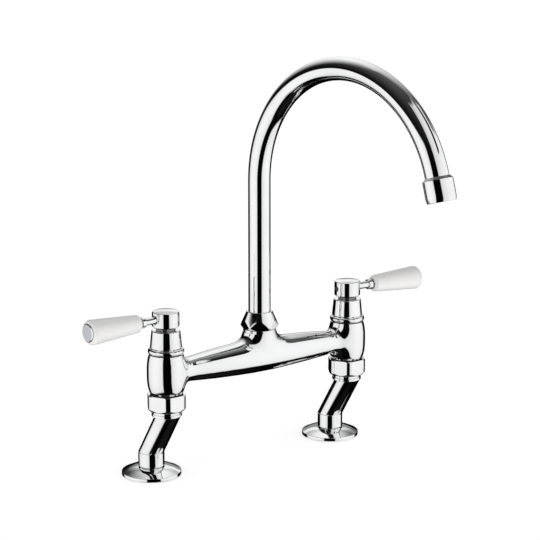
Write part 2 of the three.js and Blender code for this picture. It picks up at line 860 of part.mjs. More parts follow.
function leverHub() {
  const edgeRadius = hubRadius - hubEdge / 2;
  const footEdge = hubRadius - hubFootRadius;
  const body = solid(turned([
    [0, hubZ],
    [hubFootRadius, hubZ],
    [hubRadius, hubZ + footEdge],
    [hubRadius, hubTopZ - hubEdge - hubCrown / 2],
    [edgeRadius, hubTopZ - hubCrown],
    [edgeRadius / 2, hubTopZ - hubCrown / 4],
    [0, hubTopZ],
  ], outsideSides));
  const spindleBore = disc(spindleRadius + slide, hubZ - weld, spindleTopZ + seat, insideSides);
  const rodHole = along(disc(rodRadius + slide, rodStart - seat, hubRadius + weld, smallSides));
  const grubHole = along(disc(grubRadius + slide, -hubRadius - weld, -spindleRadius, smallSides));
  return cut(body, spindleBore, rodHole.translate(0, 0, rodZ), grubHole.translate(0, 0, rodZ));
}

// The pieces below stand on the rod's axis, with their heights running out from the hub's axis.

function hubGrubScrew() {
  const tip = -spindleRadius - slide - seat;
  const head = tip - grubLength;
  const screw = disc(grubRadius, head, tip, smallSides);
  return cut(solid(screw), disc(grubSocket, head - weld, head + grubSocketDepth, holeSides));
}

function leverRod() {
  const collarEnd = rodCollarStart + rodCollarLength;
  return solid(turned([
    [0, rodStart],
    [rodRadius, rodStart],
    [rodRadius, rodCollarStart],
    [rodCollarRadius, rodCollarStart],
    [rodCollarRadius, collarEnd],
    [rodShankRadius, collarEnd],
    [rodShankRadius, collarEnd + rodShankLength],
    [0, collarEnd + rodShankLength],
  ], smallSides));
}

function sleeveWasher() {
  const end = sleeveWasherStart + sleeveWasherThickness;
  return solid(ring(rodShankRadius + slide, rodCollarRadius, sleeveWasherStart, end, smallSides));
}

const capSocketRadius = rodShankRadius + slide + capSocketWall;

function leverSleeve() {
  const bore = rodShankRadius + slide;
  const counterbore = capSocketRadius + slide;
  const counterboreStart = sleeveEnd - capSocketLength - seat;
  const roundingCentre = [sleeveBigRadius - sleeveRounding, sleeveEnd - sleeveRounding];
  return solid(turned([
    [bore, sleeveStart],
    [sleeveSmallRadius - sleeveChamfer, sleeveStart],
    [sleeveSmallRadius, sleeveStart + sleeveChamfer],
    ...arc(...roundingCentre, sleeveRounding, 0, 90, 3),
    [counterbore, sleeveEnd],
    [counterbore, counterboreStart],
    [bore, counterboreStart],
  ], outsideSides));
}

function leverEndCap() {
  const start = sleeveEnd + seat;
  const end = start + capThickness;
  return solid(turned([
    [rodShankRadius + slide, sleeveEnd - capSocketLength],
    [capSocketRadius, sleeveEnd - capSocketLength],
    [capSocketRadius, start],
    [capRadius, start],
    [capRadius, end - capThickness / 3],
    [capRadius - capThickness / 3, end],
    [0, end],
    [0, start],
    [rodShankRadius + slide, start],
  ], insideSides));
}

// ---------------------------------------------------------------------------
// Assembly
// ---------------------------------------------------------------------------

function valve(side, x, leverBearing) {
  const name = (part) => `${side}_${part}`;
  const leg = group([
    piece(name('base_flange'), baseFlange(), chrome),
    piece(name('flange_seal'), flangeSeal(), rubber),
    piece(name('cranked_leg'), crankedLeg(), chrome),
    piece(name('union_clip'), unionClip(), steel),
  ], { bearing: crankBearing });
  const fixed = group([
    piece(name('union_nut'), unionNut(), chrome),
    piece(name('union_washer'), unionWasher(), fibre),
    piece(name('cartridge_body'), cartridgeBody(), brass),
    piece(name('cartridge_seal'), cartridgeSeal(), rubber),
    piece(name('cartridge_o_ring'), cartridgeRing(), rubber),
    piece(name('fixed_disc'), valveDisc(fixedDiscZ, 0), alumina),
    piece(name('bonnet'), bonnet(), chrome),
  ]);
  const ringBody = solid(roundRing(spindleRingMiddle, ringSection, spindleRingZ, insideSides));
  const onRod = group([
    piece(name('hub_grub_screw'), hubGrubScrew(), steel),
    piece(name('lever_rod'), leverRod(), chrome),
    piece(name('sleeve_washer'), sleeveWasher(), rubber),
    piece(name('lever_sleeve'), leverSleeve(), ceramic),
    piece(name('lever_end_cap'), leverEndCap(), satinChrome),
  ], { z: rodZ, tilt: 90 });
  const lever = group([
    piece(name('moving_disc'), movingDisc(), alumina),
    piece(name('valve_spindle'), valveSpindle(), brass),
    piece(name('spindle_o_ring'), ringBody, rubber),
    piece(name('lever_hub'), leverHub(), chrome),
    onRod,
  ], { bearing: leverBearing });
  return group([leg, fixed, lever], { x });
}

function spout() {
  const rings = ['lower', 'upper'].map((place, i) => {
    const body = solid(roundRing(spoutRingMiddle, ringSection, spoutRingHeights[i], insideSides));
    return piece(`spout_o_ring_${place}`, body, rubber);
  });
  const end = spoutAxis(degrees(spoutTurn));
  const aerator = group([
    piece('aerator_housing', aeratorHousing(), chrome),
    piece('aerator_seal', aeratorSeal(), rubber),
    piece('aerator_insert', aeratorInsert(), nylon),
    piece('aerator_screen', aeratorScreen(), steel),
  ], { x: end.x, z: end.z, tilt: spoutTurn });
  return group([
    piece('spout_tube', spoutTube(), chrome),
    piece('spout_base_bush', baseBush(), brass),
    piece('spout_split_ring', spoutSplitRing(), nylon),
    ...rings,
    aerator,
  ], { bearing: spoutBearing });
}

const faucet = group([
  piece('bridge_body', bridgeBody(), chrome),
  piece('spout_gland_nut', glandNut(), chrome),
  spout(),
  valve('left', -valveSpacing / 2, leftLeverBearing),
  valve('right', valveSpacing / 2, rightLeverBearing),
]);

export default faucet;
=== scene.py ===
# %% [markdown]
# # A bridge kitchen tap
#
# The tap stands on two cranked legs. A tapered bridge joins its two valves, and a tall swan-neck
# spout turns on the middle of the bridge. Nearly all of it is mirror chrome, so its shapes are
# read from what they reflect: clean curves, crisp small roundings and a tidy studio matter more
# here than colour.
#
# The first step brings in the imported model. Nothing that is made below may change the size of
# the object.

# %% Bring in the imported model
import math

import bmesh
import bpy
import numpy as np
from mathutils import Matrix, Vector


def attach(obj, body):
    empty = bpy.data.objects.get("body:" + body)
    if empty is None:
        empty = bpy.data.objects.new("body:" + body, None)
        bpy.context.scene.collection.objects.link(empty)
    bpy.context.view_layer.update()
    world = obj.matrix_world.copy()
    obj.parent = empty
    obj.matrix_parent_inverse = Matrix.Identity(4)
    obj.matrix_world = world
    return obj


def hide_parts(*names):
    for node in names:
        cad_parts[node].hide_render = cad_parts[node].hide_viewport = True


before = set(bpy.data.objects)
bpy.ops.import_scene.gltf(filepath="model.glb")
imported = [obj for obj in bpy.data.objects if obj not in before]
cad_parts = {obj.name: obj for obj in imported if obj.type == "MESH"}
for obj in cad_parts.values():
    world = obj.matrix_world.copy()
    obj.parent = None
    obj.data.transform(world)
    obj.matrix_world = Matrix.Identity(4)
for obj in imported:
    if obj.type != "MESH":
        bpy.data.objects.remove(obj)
scene = bpy.context.scene
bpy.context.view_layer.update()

# %% [markdown]
# ## Camera
#
# The camera was found by matching outlines of the tap, with its valves 180 mm apart. It stands
# 1.5 metres away, to the left of the user's place, and looks a little downwards through a long
# lens. A camera's own matrix has its right, its up and its backward direction as columns.

# %% Camera
CAMERA_PLACE = Vector((-0.87618, -1.21678, 0.49367))
CAMERA_TURN = math.radians(36.08)  # from the user's place towards -X
CAMERA_DROP = math.radians(12.666)
CAMERA_LENS = 127.76  # mm, on a sensor 36 mm wide

right = Vector((math.cos(CAMERA_TURN), -math.sin(CAMERA_TURN), 0))
level = Vector((math.sin(CAMERA_TURN), math.cos(CAMERA_TURN), 0))
forward = level * math.cos(CAMERA_DROP) - Vector((0, 0, math.sin(CAMERA_DROP)))
up = right.cross(forward)
camera_data = bpy.data.cameras.new("camera")
camera_data.lens = CAMERA_LENS
camera_data.sensor_fit = "HORIZONTAL"
camera_data.sensor_width = 36
camera = bpy.data.objects.new("camera", camera_data)
camera_axes = Matrix((right, up, -forward)).transposed().to_4x4()
camera.matrix_world = Matrix.Translation(CAMERA_PLACE) @ camera_axes
scene.collection.objects.link(camera)
scene.camera = camera
print("camera looks along", tuple(round(c, 4) for c in forward))

# %% [markdown]
# ## Outlines
#
# Most of these pieces are turned on a lathe, and their outlines are easiest to read in
# millimetres from the axis and from the worktop. A real edge is never perfectly sharp: it has a
# small rounding that catches the light. So an outline is a list of corners, and a corner's third
# number is its rounding. The same rule does for every piece, which saves a bevel on each.

# %% Rounded outlines
MM = 0.001


def rounded(*corners, steps=5):
    """The points of an outline through corners given as (radius, height) or, where the corner
    is rounded, (radius, height, rounding)."""
    points = []
    for i, corner in enumerate(corners):
        here = Vector(corner[:2])
        if len(corner) < 3:
            points.append(here)
            continue
        back = (Vector(corners[i - 1][:2]) - here).normalized()
        on = (Vector(corners[(i + 1) % len(corners)][:2]) - here).normalized()
        half = back.angle(on) / 2
        centre = here + (back + on).normalized() * (corner[2] / math.sin(half))
        start = here + back * (corner[2] / math.tan(half)) - centre
        sweep = start.angle_signed(here + on * (corner[2] / math.tan(half)) - centre)
        for k in range(steps + 1):
            points.append(centre + Matrix.Rotation(-sweep * k / steps, 2) @ start)
    return points


plug_outline = rounded((0, 0), (5, 0, 1), (5, 4, 1), (0, 4))
print(len(plug_outline), "points round a plug with two rounded edges")

# %% [markdown]
# ## Turned meshes
#
# An outline becomes a mesh by carrying it round the Z axis. Blender's Screw modifier could do
# it, but a few lines of mesh code also close the poles and let the radius change with the angle,
# which the two nuts need. The scale to metres happens here, once.

# %% Turned meshes
def merged(name, *meshes):
    """One mesh of all these, with double points merged and its faces turned outwards."""
    shell = bmesh.new()
    for mesh in meshes:
        shell.from_mesh(mesh)
        bpy.data.meshes.remove(mesh)
    bmesh.ops.remove_doubles(shell, verts=shell.verts, dist=1e-7)
    bmesh.ops.recalc_face_normals(shell, faces=shell.faces)
    mesh = bpy.data.meshes.new(name)
    shell.to_mesh(mesh)
    shell.free()
    return mesh


def mesh_from(name, points, faces):
    mesh = bpy.data.meshes.new(name)
    mesh.from_pydata([tuple(c * MM for c in point) for point in points], [], faces)
    return merged(name, mesh)


def turned(name, outline, sides=96, ring=False, angles=None, reach=None):
    """A mesh turned round Z. The outline starts and ends on the axis, or is a closed ring.
    reach(angle, radius, height) may change the radius of a point."""
    angles = angles or [2 * math.pi * k / sides for k in range(sides)]
    points, rows = [], []
    for radius, height in outline:
        row = []
        for angle in angles if radius > 1e-6 else [0]:
            r = reach(angle, radius, height) if reach else radius
            row.append(len(points))
            points.append((r * math.cos(angle), r * math.sin(angle), height))
        rows.append(row)
    faces = []
    for low, high in zip(rows, rows[1:] + (rows[:1] if ring else [])):
        for k in range(len(angles)):
            n = (k + 1) % len(angles)
            corners = [low[k % len(low)], low[n % len(low)],
                       high[n % len(high)], high[k % len(high)]]
            corners = list(dict.fromkeys(corners))
            if len(corners) > 2:
                faces.append(corners)
    return mesh_from(name, points, faces)


plug = turned("plug", plug_outline)
print("the plug has", len(plug.polygons), "faces")
bpy.data.meshes.remove(plug)

# %% [markdown]
# ## Cutting and joining
#
# Holes, and tubes that meet at a slant, are made with booleans on closed meshes. A modifier's
# result is read back as a plain mesh at once, so no modifier has to live on in the piece. The
# same helper serves the other modifiers further on.

# %% Cutting and joining
def through(mesh, kind, inputs=None, **settings):
    """The mesh after one modifier with these settings, and node inputs by their labels."""
    carrier = bpy.data.objects.new("carrier", mesh)
    scene.collection.objects.link(carrier)
    modifier = carrier.modifiers.new("modifier", kind)
    for key, value in settings.items():
        setattr(modifier, key, value)
    for item in modifier.node_group.interface.items_tree if inputs else []:
        if item.name in inputs:
            modifier[item.identifier] = inputs[item.name]
    depsgraph = bpy.context.evaluated_depsgraph_get()
    result = bpy.data.meshes.new_from_object(carrier.evaluated_get(depsgraph))
    bpy.data.objects.remove(carrier)
    bpy.data.meshes.remove(mesh)
    return result


def worked(mesh, operation, *tools):
    """The mesh with each tool mesh cut out of it or joined to it."""
    for tool in tools:
        helper = bpy.data.objects.new("helper", tool)
        scene.collection.objects.link(helper)
        mesh = through(mesh, "BOOLEAN", solver="MANIFOLD", operation=operation, object=helper)
        bpy.data.objects.remove(helper)
        bpy.data.meshes.remove(tool)
    return mesh


def cut(mesh, *tools):
    return worked(mesh, "DIFFERENCE", *tools)


def joined(mesh, *tools):
    return worked(mesh, "UNION", *tools)


def plain_disc(radius, low, high, sides=64):
    return turned("disc", [(0, low), (radius, low), (radius, high), (0, high)], sides)


def moved(mesh, *matrices):
    """The mesh after each matrix in turn. Distances in the matrices are millimetres."""
    for matrix in matrices:
        matrix = matrix.copy()
        matrix.translation *= MM
        mesh.transform(matrix)
    return mesh


def about_z(degrees):
    return Matrix.Rotation(math.radians(degrees), 4, "Z")


def shift(x=0, y=0, z=0):
    return Matrix.Translation((x, y, z))


LYING = Matrix.Rotation(math.radians(90), 4, "Y")  # lays a piece's axis along X

print("boolean helpers ready")

# %% [markdown]
# ## Finishes
#
# Chrome plate is a mirror, but never a perfect one. The casting is polished by hand and keeps a
# faint waviness, turned pieces keep a trace of the lathe, and the drawn tube has fine streaks
# along its length. Each finish here is a Principled shader with noise on Object coordinates, so
# the size of a mark is in real metres and stays with the piece. The marks change the roughness
# and, by a few thousandths of a millimetre, the relief.

# %% Helpers for nodes
def node(tree, kind, sockets=None, **settings):
    """A node with these settings. Its sockets are linked, or given a value."""
    made = tree.nodes.new(kind)
    for key, value in settings.items():
        setattr(made, key, value)
    for key, value in (sockets or {}).items():
        if isinstance(value, bpy.types.NodeSocket):
            tree.links.new(value, made.inputs[key])
        else:
            made.inputs[key].default_value = value
    return made


def maths(tree, operation, first, *others):
    for other in others or [None]:
        sockets = {0: first} if other is None else {0: first, 1: other}
        first = node(tree, "ShaderNodeMath", sockets, operation=operation).outputs[0]
    return first


def mixed(tree, factor, first, second, kind="RGBA"):
    """The first value where the factor is 0, and the second where it is 1."""
    blend = node(tree, "ShaderNodeMix", {"Factor": factor}, data_type=kind)
    for socket, value in zip([s for s in blend.inputs if s.enabled][1:], (first, second)):
        if isinstance(value, bpy.types.NodeSocket):
            tree.links.new(value, socket)
        else:
            socket.default_value = value
    return next(s for s in blend.outputs if s.enabled)


print("node helpers ready")

# %% Helpers for finishes
def new_finish(name, **values):
    """A material with one Principled shader. Values set its sockets, with _ for a space."""
    material = bpy.data.materials.new(name)
    material.use_nodes = True
    shader = material.node_tree.nodes["Principled BSDF"]
    for socket, value in values.items():
        shader.inputs[socket.replace("_", " ")].default_value = value
    return material


def marks(material, size, stretch=(1, 1, 1), detail=3.0):
    """A noise with marks of about this size in metres, longer where stretch is greater."""
    tree = material.node_tree
    place = node(tree, "ShaderNodeTexCoord").outputs["Object"]
    mapping = node(tree, "ShaderNodeMapping", {"Vector": place, "Scale": [1 / s for s in stretch]})
    noise = node(tree, "ShaderNodeTexNoise", {
        "Vector": mapping.outputs[0], "Scale": 1 / size, "Detail": detail,
    })
    return noise.outputs["Fac"]


def vary(material, socket, source, low, high):
    """Lets a socket of the shader go from low to high with the marks."""
    tree = material.node_tree
    span = node(tree, "ShaderNodeMapRange", {"Value": source, "From Min": 0.3, "From Max": 0.7})
    result = span.outputs["Result"]
    if isinstance(low, tuple):
        result = mixed(tree, result, (*low, 1), (*high, 1))
    else:
        span.inputs["To Min"].default_value = low
        span.inputs["To Max"].default_value = high
    tree.links.new(result, tree.nodes["Principled BSDF"].inputs[socket])


def relief(material, *layers):
    """Bumps the surface by layers of (marks, depth in metres)."""
    tree = material.node_tree
    under = {}
    for source, depth in layers:
        bump = node(tree, "ShaderNodeBump", {"Height": source, "Distance": depth, **under})
        under = {"Normal": bump.outputs["Normal"]}
    tree.links.new(under["Normal"], tree.nodes["Principled BSDF"].inputs["Normal"])


# %% Chrome
def chrome(name, polish, wave=0.012, wave_depth=6e-6):
    """Mirror chrome. Polish is the stretch of its fine marks, and wave the size of its ripple."""
    material = new_finish(name, Metallic=1.0)
    vary(material, "Base Color", marks(material, 0.02), (0.84, 0.845, 0.85), (0.9, 0.905, 0.91))
    fine = marks(material, 0.0004, polish, 4.0)
    vary(material, "Roughness", fine, 0.015, 0.05)
    relief(material, (marks(material, wave), wave_depth), (fine, 2e-7))
    return material


FINISHES = {
    "cast": chrome("chrome_on_casting", (1, 1, 1), 0.014, 1.2e-5),
    "turned": chrome("chrome_on_turned_brass", (6, 6, 1)),
    "drawn": chrome("chrome_on_drawn_tube", (1, 1, 12), 0.02, 8e-6),
}
print("chrome in", len(FINISHES), "kinds")

# %% [markdown]
# The lever's sleeve is a pale glazed ceramic with a satin gloss, and a disc of satin chrome
# closes its end. The pieces inside the tap are what such pieces are made of: brass, rubber,
# nylon, steel, pressed fibre and lapped alumina. Two of the finishes change at a height, and on one
# side of that height they are painted shade: the cartridge's neck is dark grey in the gap under the
# hub, and the casting's tails are near black in the seam above the coupling nut.

# %% Ceramic, and the finishes inside the tap
def plain(name, colours, roughness, size, depth, stretch=(1, 1, 1), **values):
    material = new_finish(name, **values)
    vary(material, "Base Color", marks(material, size * 6, stretch), *colours)
    grain = marks(material, size, stretch, 4.0)
    vary(material, "Roughness", grain, *roughness)
    relief(material, (grain, depth))
    return material


FINISHES["ceramic"] = plain(
    "satin_glazed_ceramic", ((0.845, 0.84, 0.82), (0.86, 0.855, 0.835)), (0.3, 0.36), 0.0009,
    1.5e-6, Coat_Weight=0.35, Coat_Roughness=0.22,
)
FINISHES["satin"] = plain(
    "satin_chrome", ((0.5, 0.52, 0.55), (0.56, 0.58, 0.61)), (0.24, 0.34), 0.0003, 1.5e-6,
    Metallic=1.0,
)
FINISHES["brass"] = plain(
    "machined_brass", ((0.62, 0.44, 0.17), (0.74, 0.55, 0.25)), (0.22, 0.38), 0.00025, 4e-6,
    (8, 8, 1), Metallic=1.0,
)
FINISHES["steel"] = plain(
    "bright_steel", ((0.5, 0.5, 0.51), (0.58, 0.58, 0.59)), (0.2, 0.36), 0.0002, 2e-6,
    Metallic=1.0,
)
FINISHES["rubber"] = plain(
    "moulded_rubber", ((0.016, 0.016, 0.017), (0.03, 0.03, 0.031)), (0.55, 0.8), 0.0004, 1.2e-5,
)
FINISHES["fibre"] = plain(
    "pressed_fibre", ((0.22, 0.045, 0.03), (0.34, 0.08, 0.055)), (0.7, 0.9), 0.0005, 3e-5,
)
FINISHES["nylon"] = plain(
    "moulded_nylon", ((0.66, 0.66, 0.63), (0.72, 0.72, 0.69)), (0.4, 0.55), 0.0006, 8e-6,
    Subsurface_Weight=0.15, Subsurface_Scale=0.001,
)
FINISHES["alumina"] = plain(
    "lapped_alumina", ((0.76, 0.745, 0.7), (0.82, 0.805, 0.76)), (0.3, 0.4), 0.0003, 1e-6,
)


def metal_and_painted_shade(name, start, lower_colour, roughness, *layers, upper_colour=(0.87, 0.875, 0.88), gloss=0.03):
    """Metal whose colour and roughness change at this height in metres: the first colour and
    roughness below it, the second colour and gloss above it. One of the two colours is painted
    shade, for the part of a piece that shows in a shaded gap.
    """
    material = new_finish(name, Metallic=1.0)
    tree = material.node_tree
    place = node(tree, "ShaderNodeTexCoord").outputs["Object"]
    height = node(tree, "ShaderNodeSeparateXYZ", {0: place}).outputs["Z"]
    upper_share = node(tree, "ShaderNodeMapRange", {
        "Value": height, "From Min": start, "From Max": start + 0.0002,
    }).outputs["Result"]
    vary(material, "Base Color", upper_share, lower_colour, upper_colour)
    vary(material, "Roughness", upper_share, roughness, gloss)
    relief(material, *[(marks(material, *sizes), depth) for sizes, depth in layers])
    return material


# Painted shade: the cartridge is brass below 117 mm and painted dark grey and rough above it, where
# its neck shows in the shaded gap under the hub.
FINISHES["cartridge"] = metal_and_painted_shade(
    "brass_with_painted_shade_neck", 0.117, (0.68, 0.5, 0.21), 0.3, ((0.0003, (8, 8, 1)), 1e-6),
    upper_colour=(0.24, 0.24, 0.25), gloss=0.25,
)
# Painted shade: the casting is chrome above 70.3 mm and painted near black below it, where its
# tails show in the shaded seam above the coupling nut.
FINISHES["casting"] = metal_and_painted_shade(
    "chrome_on_casting_with_painted_shade_tails", 0.0703, (0.05, 0.045, 0.04), 0.5,
    ((0.014,), 1.2e-5), ((0.0004, (1, 1, 1), 4.0), 2e-7),
)
print(len(FINISHES), "finishes")

# %% [markdown]
# ## Putting a piece in the scene
#
# A finished mesh becomes an object at the origin. It takes the place of a node of the model and
# rides on that node's body. Flat faces beside small roundings would shade as if they were
# bulged, so a Weighted Normal modifier lets each large face keep its own direction.

# %% Putting a piece in the scene
SHARP_ANGLE = math.radians(32)


def add_piece(name, mesh, body, node, finish):
    mesh.name = name
    mesh.shade_smooth()
    mesh.set_sharp_from_angle(angle=SHARP_ANGLE)
    mesh.materials.clear()
    mesh.materials.append(FINISHES[finish])
    piece = bpy.data.objects.new(name, mesh)
    scene.collection.objects.link(piece)
    weighted = piece.modifiers.new("weighted", "WEIGHTED_NORMAL")
    weighted.keep_sharp = True
    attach(piece, body)
    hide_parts(node)
    print(name, "has", len(mesh.polygons), "faces")
    return piece


SIDES = {"left": -1, "right": 1}
VALVE_X = 90.0

# %% [markdown]
# ## Base flange
#
# A low dome with an upright rim covers the hole in the worktop. Seen from above it is a mirror,
# so its curve matters: it is one smooth bow from the rim up to the flat land round the foot.
# The legs are cranked, and step back from the valve's axis.

# %% Base flange
CRANK_THROW = 17.14
CRANK_BEARING = 104.8


def bow(start, control, end, steps=10):
    """Points of a quadratic curve, without its first one."""
    start, control, end = Vector(start), Vector(control), Vector(end)
    shares = [k / steps for k in range(1, steps + 1)]
    return [(1 - s) ** 2 * start + 2 * s * (1 - s) * control + s * s * end for s in shares]


def at_foot(mesh, x):
    return moved(mesh, shift(CRANK_THROW), about_z(CRANK_BEARING), shift(x))


def flange_mesh():
    dome = [tuple(p) for p in bow((23.2, 2.8), (17.5, 6.0), (11.3, 6.6))]
    outline = rounded(
        (9.9, 0), (12.7, 0), (12.7, 2.3), (21.8, 2.3), (21.8, 0), (23.8, 0, 0.3),
        (23.8, 2.7, 0.5), *dome[1:], (9.9, 6.6),
    )
    return turned("flange", outline, 128, ring=True)


for side, sign in SIDES.items():
    mesh = at_foot(flange_mesh(), sign * VALVE_X)
    add_piece(f"{side}_flange", mesh, f"{side}_leg", f"{side}_base_flange", "turned")

# %% [markdown]
# ## Cranked leg
#
# The leg is a short foot, a leaning tube and a collar, brazed together before plating. A tube
# that leans has level ends here, so it is a round disc that is sheared, not bent. The three
# shapes are joined, and then the waterway is bored along the same three axes.

# %% Cranked leg
FOOT_TOP = 18.5
LEAN_TOP = 49.5  # where the leaning axis meets the valve's axis
LEAN = math.atan2(CRANK_THROW, LEAN_TOP - FOOT_TOP)


def leaning(radius, low, high):
    mesh = plain_disc(radius, low, high, 128)
    shear = Matrix.Identity(4)
    shear[0][0] = 1 / math.cos(LEAN)
    shear[0][2] = -math.tan(LEAN)
    shear[0][3] = math.tan(LEAN) * LEAN_TOP
    return moved(mesh, shear)


def leg_mesh():
    foot = turned("foot", rounded(
        (0, 0.3), (9.6, 0.3, 0.3), (9.6, 6.9), (9.9, 6.9), (10.5, 7.5, 0.2), (10.5, FOOT_TOP, 0.3),
        (0, FOOT_TOP),
    ), 128)
    collar = turned("collar", rounded(
        (0, 51.6), (12.1, 51.6, 0.3), (12.1, 53.95, 0.35), (11.4, 53.95), (11.4, 56.3, 0.35),
        (9.6, 56.3), (9.6, 59), (8.7, 59), (8.7, 61), (9.6, 61), (9.6, 62.3, 0.2), (0, 62.3),
    ), 128)
    leg = joined(moved(foot, shift(CRANK_THROW)), leaning(9.5, FOOT_TOP - 0.5, 51.9), collar)
    return cut(
        leg,
        leaning(6.5, FOOT_TOP - 0.2, LEAN_TOP + 0.2),
        moved(plain_disc(6.5, 12, FOOT_TOP), shift(CRANK_THROW)),
        moved(plain_disc(7.6, 0, 12.3), shift(CRANK_THROW)),
        plain_disc(6.5, LEAN_TOP, 63),
    )


for side, sign in SIDES.items():
    mesh = moved(leg_mesh(), about_z(CRANK_BEARING), shift(sign * VALVE_X))
    add_piece(f"{side}_leg_tube", mesh, f"{side}_leg", f"{side}_cranked_leg", "cast")

# %% [markdown]
# ## Nuts with six flats
#
# Both kinds of nut are turned first and then given six flats, which leave curved edges where
# they run into the turned shape. The same happens here: a point's radius is the smaller of the
# turned radius and the reach of the nearest flat. A soft minimum rounds all those edges at once.
# The angles lie closer together near the corners, where the rounding needs them.

# %% Nuts with six flats
CORNER_STEPS = [0, 0.4, 0.9, 1.5, 2.3, 3.5, 5.5, 8.5, 12.5, 17, 21.5, 26]


def soft_least(values, softness):
    least = min(values)
    return least - softness * math.log(sum(math.exp((least - v) / softness) for v in values))


def flatted(name, outline, across, corner_bearing, softness=0.12):
    """A turned outline with six flats, one of its corners at the bearing."""
    steps = sorted({s for step in CORNER_STEPS for s in (step, 60 - step)} | {30})
    angles = [math.radians(corner_bearing + 60 * k + s) for k in range(6) for s in steps if s < 60]
    flats = [math.radians(corner_bearing + 30 + 60 * k) for k in range(6)]

    def reach(angle, radius, _):
        walls = [across / 2 / max(math.cos(angle - flat), 0.2) for flat in flats]
        return soft_least([radius, *walls], softness) if radius > across / 4 else radius

    return turned(name, outline, angles=angles, reach=reach)


def filled(points, gap):
    """The outline with points added, so that none are further apart than the gap."""
    result = [points[0]]
    for point in points[1:]:
        count = max(1, math.ceil((point - result[-1]).length / gap))
        start = result[-1]
        result += [start.lerp(point, k / count) for k in range(1, count + 1)]
    return result


def union_nut_mesh():
    outline = rounded(
        (0, 56.6), (14.3, 56.6, 0.3), (15.8, 58.5, 0.4), (15.8, 69.0, 0.3), (15.3, 69.6, 0.1),
        (0, 69.6),
    )
    nut = flatted("nut", filled(outline, 0.4), 29.4, 1.5, 0.06)
    return cut(nut, plain_disc(9.9, 56, 70), plain_disc(13, 59, 70))


for side, sign in SIDES.items():
    mesh = moved(union_nut_mesh(), shift(sign * VALVE_X))
    add_piece(f"{side}_coupling_nut", mesh, "bridge", f"{side}_union_nut", "turned")


# %% The gland nut round the spout's foot
def gland_nut_mesh():
    outline = rounded(
        (0, 109.2), (13.4, 109.2, 0.2), (15.5, 111.6, 0.3), (10.4, 123.3, 0.5), (0, 123.3),
    )
    nut = flatted("nut", filled(outline, 0.35), 27.2, -96)
    return cut(nut, plain_disc(11.7, 109, 115.9), plain_disc(9.3, 109, 124))


add_piece("gland_nut", gland_nut_mesh(), "bridge", "spout_gland_nut", "turned")

# %% [markdown]
# ## The bridge casting
#
# Two barrels, the bridge between them and the boss under the spout are one casting, and every
# join has a fillet. A mirror finish shows the slightest dent in such a surface, so it isn't
# pieced together by hand. It is written as one field instead: a number at every point that is
# below zero inside the metal. A rough mesh of the shapes is remeshed to an even grid, and each
# of its corners is then slid along the field until it lies exactly on the surface.

# %% The field of the casting, in millimetres
BARREL_LOW, BARREL_HIGH = 70.2, 101.6
BARREL_FILLET = 8.0  # above and below the bridge
BARREL_SWEEP = 5.5  # what is added to it in front and behind
BOSS_RADIUS = 13.2
BOSS_FILLET = 18.0
BRIDGE_LEVEL = 86.49
BRIDGE_SAG = 0.7  # the bridge's axis is lower at its ends
BRIDGE_REACH = 74.65
BRIDGE_END = 84.0  # inside the barrels


def soft_union(a, b, size):
    near = np.maximum(size - np.abs(a - b), 0) / np.maximum(size, 1e-6)
    return np.minimum(a, b) - near**3 * size / 6


def barrel_radius(height):
    share = 2 * (height - BARREL_LOW) / (BARREL_HIGH - BARREL_LOW) - 1
    end = np.where(share < 0, 13.0, 13.5)
    return 15.35 - (15.35 - end) * np.abs(share) ** 3


def bridge_radius(x):
    share = np.clip(np.abs(x) / BRIDGE_REACH, 0, 1.2)
    return 13.65 - 4.55 * share**1.8


def casting_field(points):
    x, y, z = points.T
    axis = BRIDGE_LEVEL - BRIDGE_SAG * np.clip(np.abs(x) / BRIDGE_REACH, 0, 1.2) ** 2
    across = np.hypot(y, z - axis)
    field = np.maximum(across - bridge_radius(x), np.abs(x) - BRIDGE_END)
    drop = np.minimum(z - BRIDGE_LEVEL, 0)
    column = np.sqrt(x * x + y * y + drop * drop)
    agree = (y * y + (z - axis) * drop) / np.maximum(across * column, 1e-6)
    field = soft_union(field, column - BOSS_RADIUS, BOSS_FILLET * (1 - agree**2))
    for sign in SIDES.values():
        out = np.hypot(x - sign * VALVE_X, y)
        agree = y * y / np.maximum(across * out, 1e-6)
        fillet = BARREL_FILLET + BARREL_SWEEP * (y / np.maximum(across, 1e-6)) ** 2
        field = soft_union(field, out - barrel_radius(z), fillet * (1 - agree**12))
    return field


probe = np.array([[0, 0, BRIDGE_LEVEL + 13.65], [VALVE_X + 15.35, 0, 85.9]])
print("field at the top of the bridge and at a barrel's side", casting_field(probe).round(3))

# %% [markdown]
# The remesh gives even squares about 0.8 mm wide. Three rounds of smoothing keep them even where
# a fillet stretches them, and after each the corners go back to the surface.

# %% The casting's mesh
def slid_onto_field(points, field, turns=6):
    step = 0.01
    for _ in range(turns):
        value = field(points)
        slope = np.stack([
            (field(points + step * axis) - field(points - step * axis)) / (2 * step)
            for axis in np.eye(3)
        ], axis=1)
        points = points - slope * (value / np.maximum((slope**2).sum(1), 1e-6))[:, None]
    return points


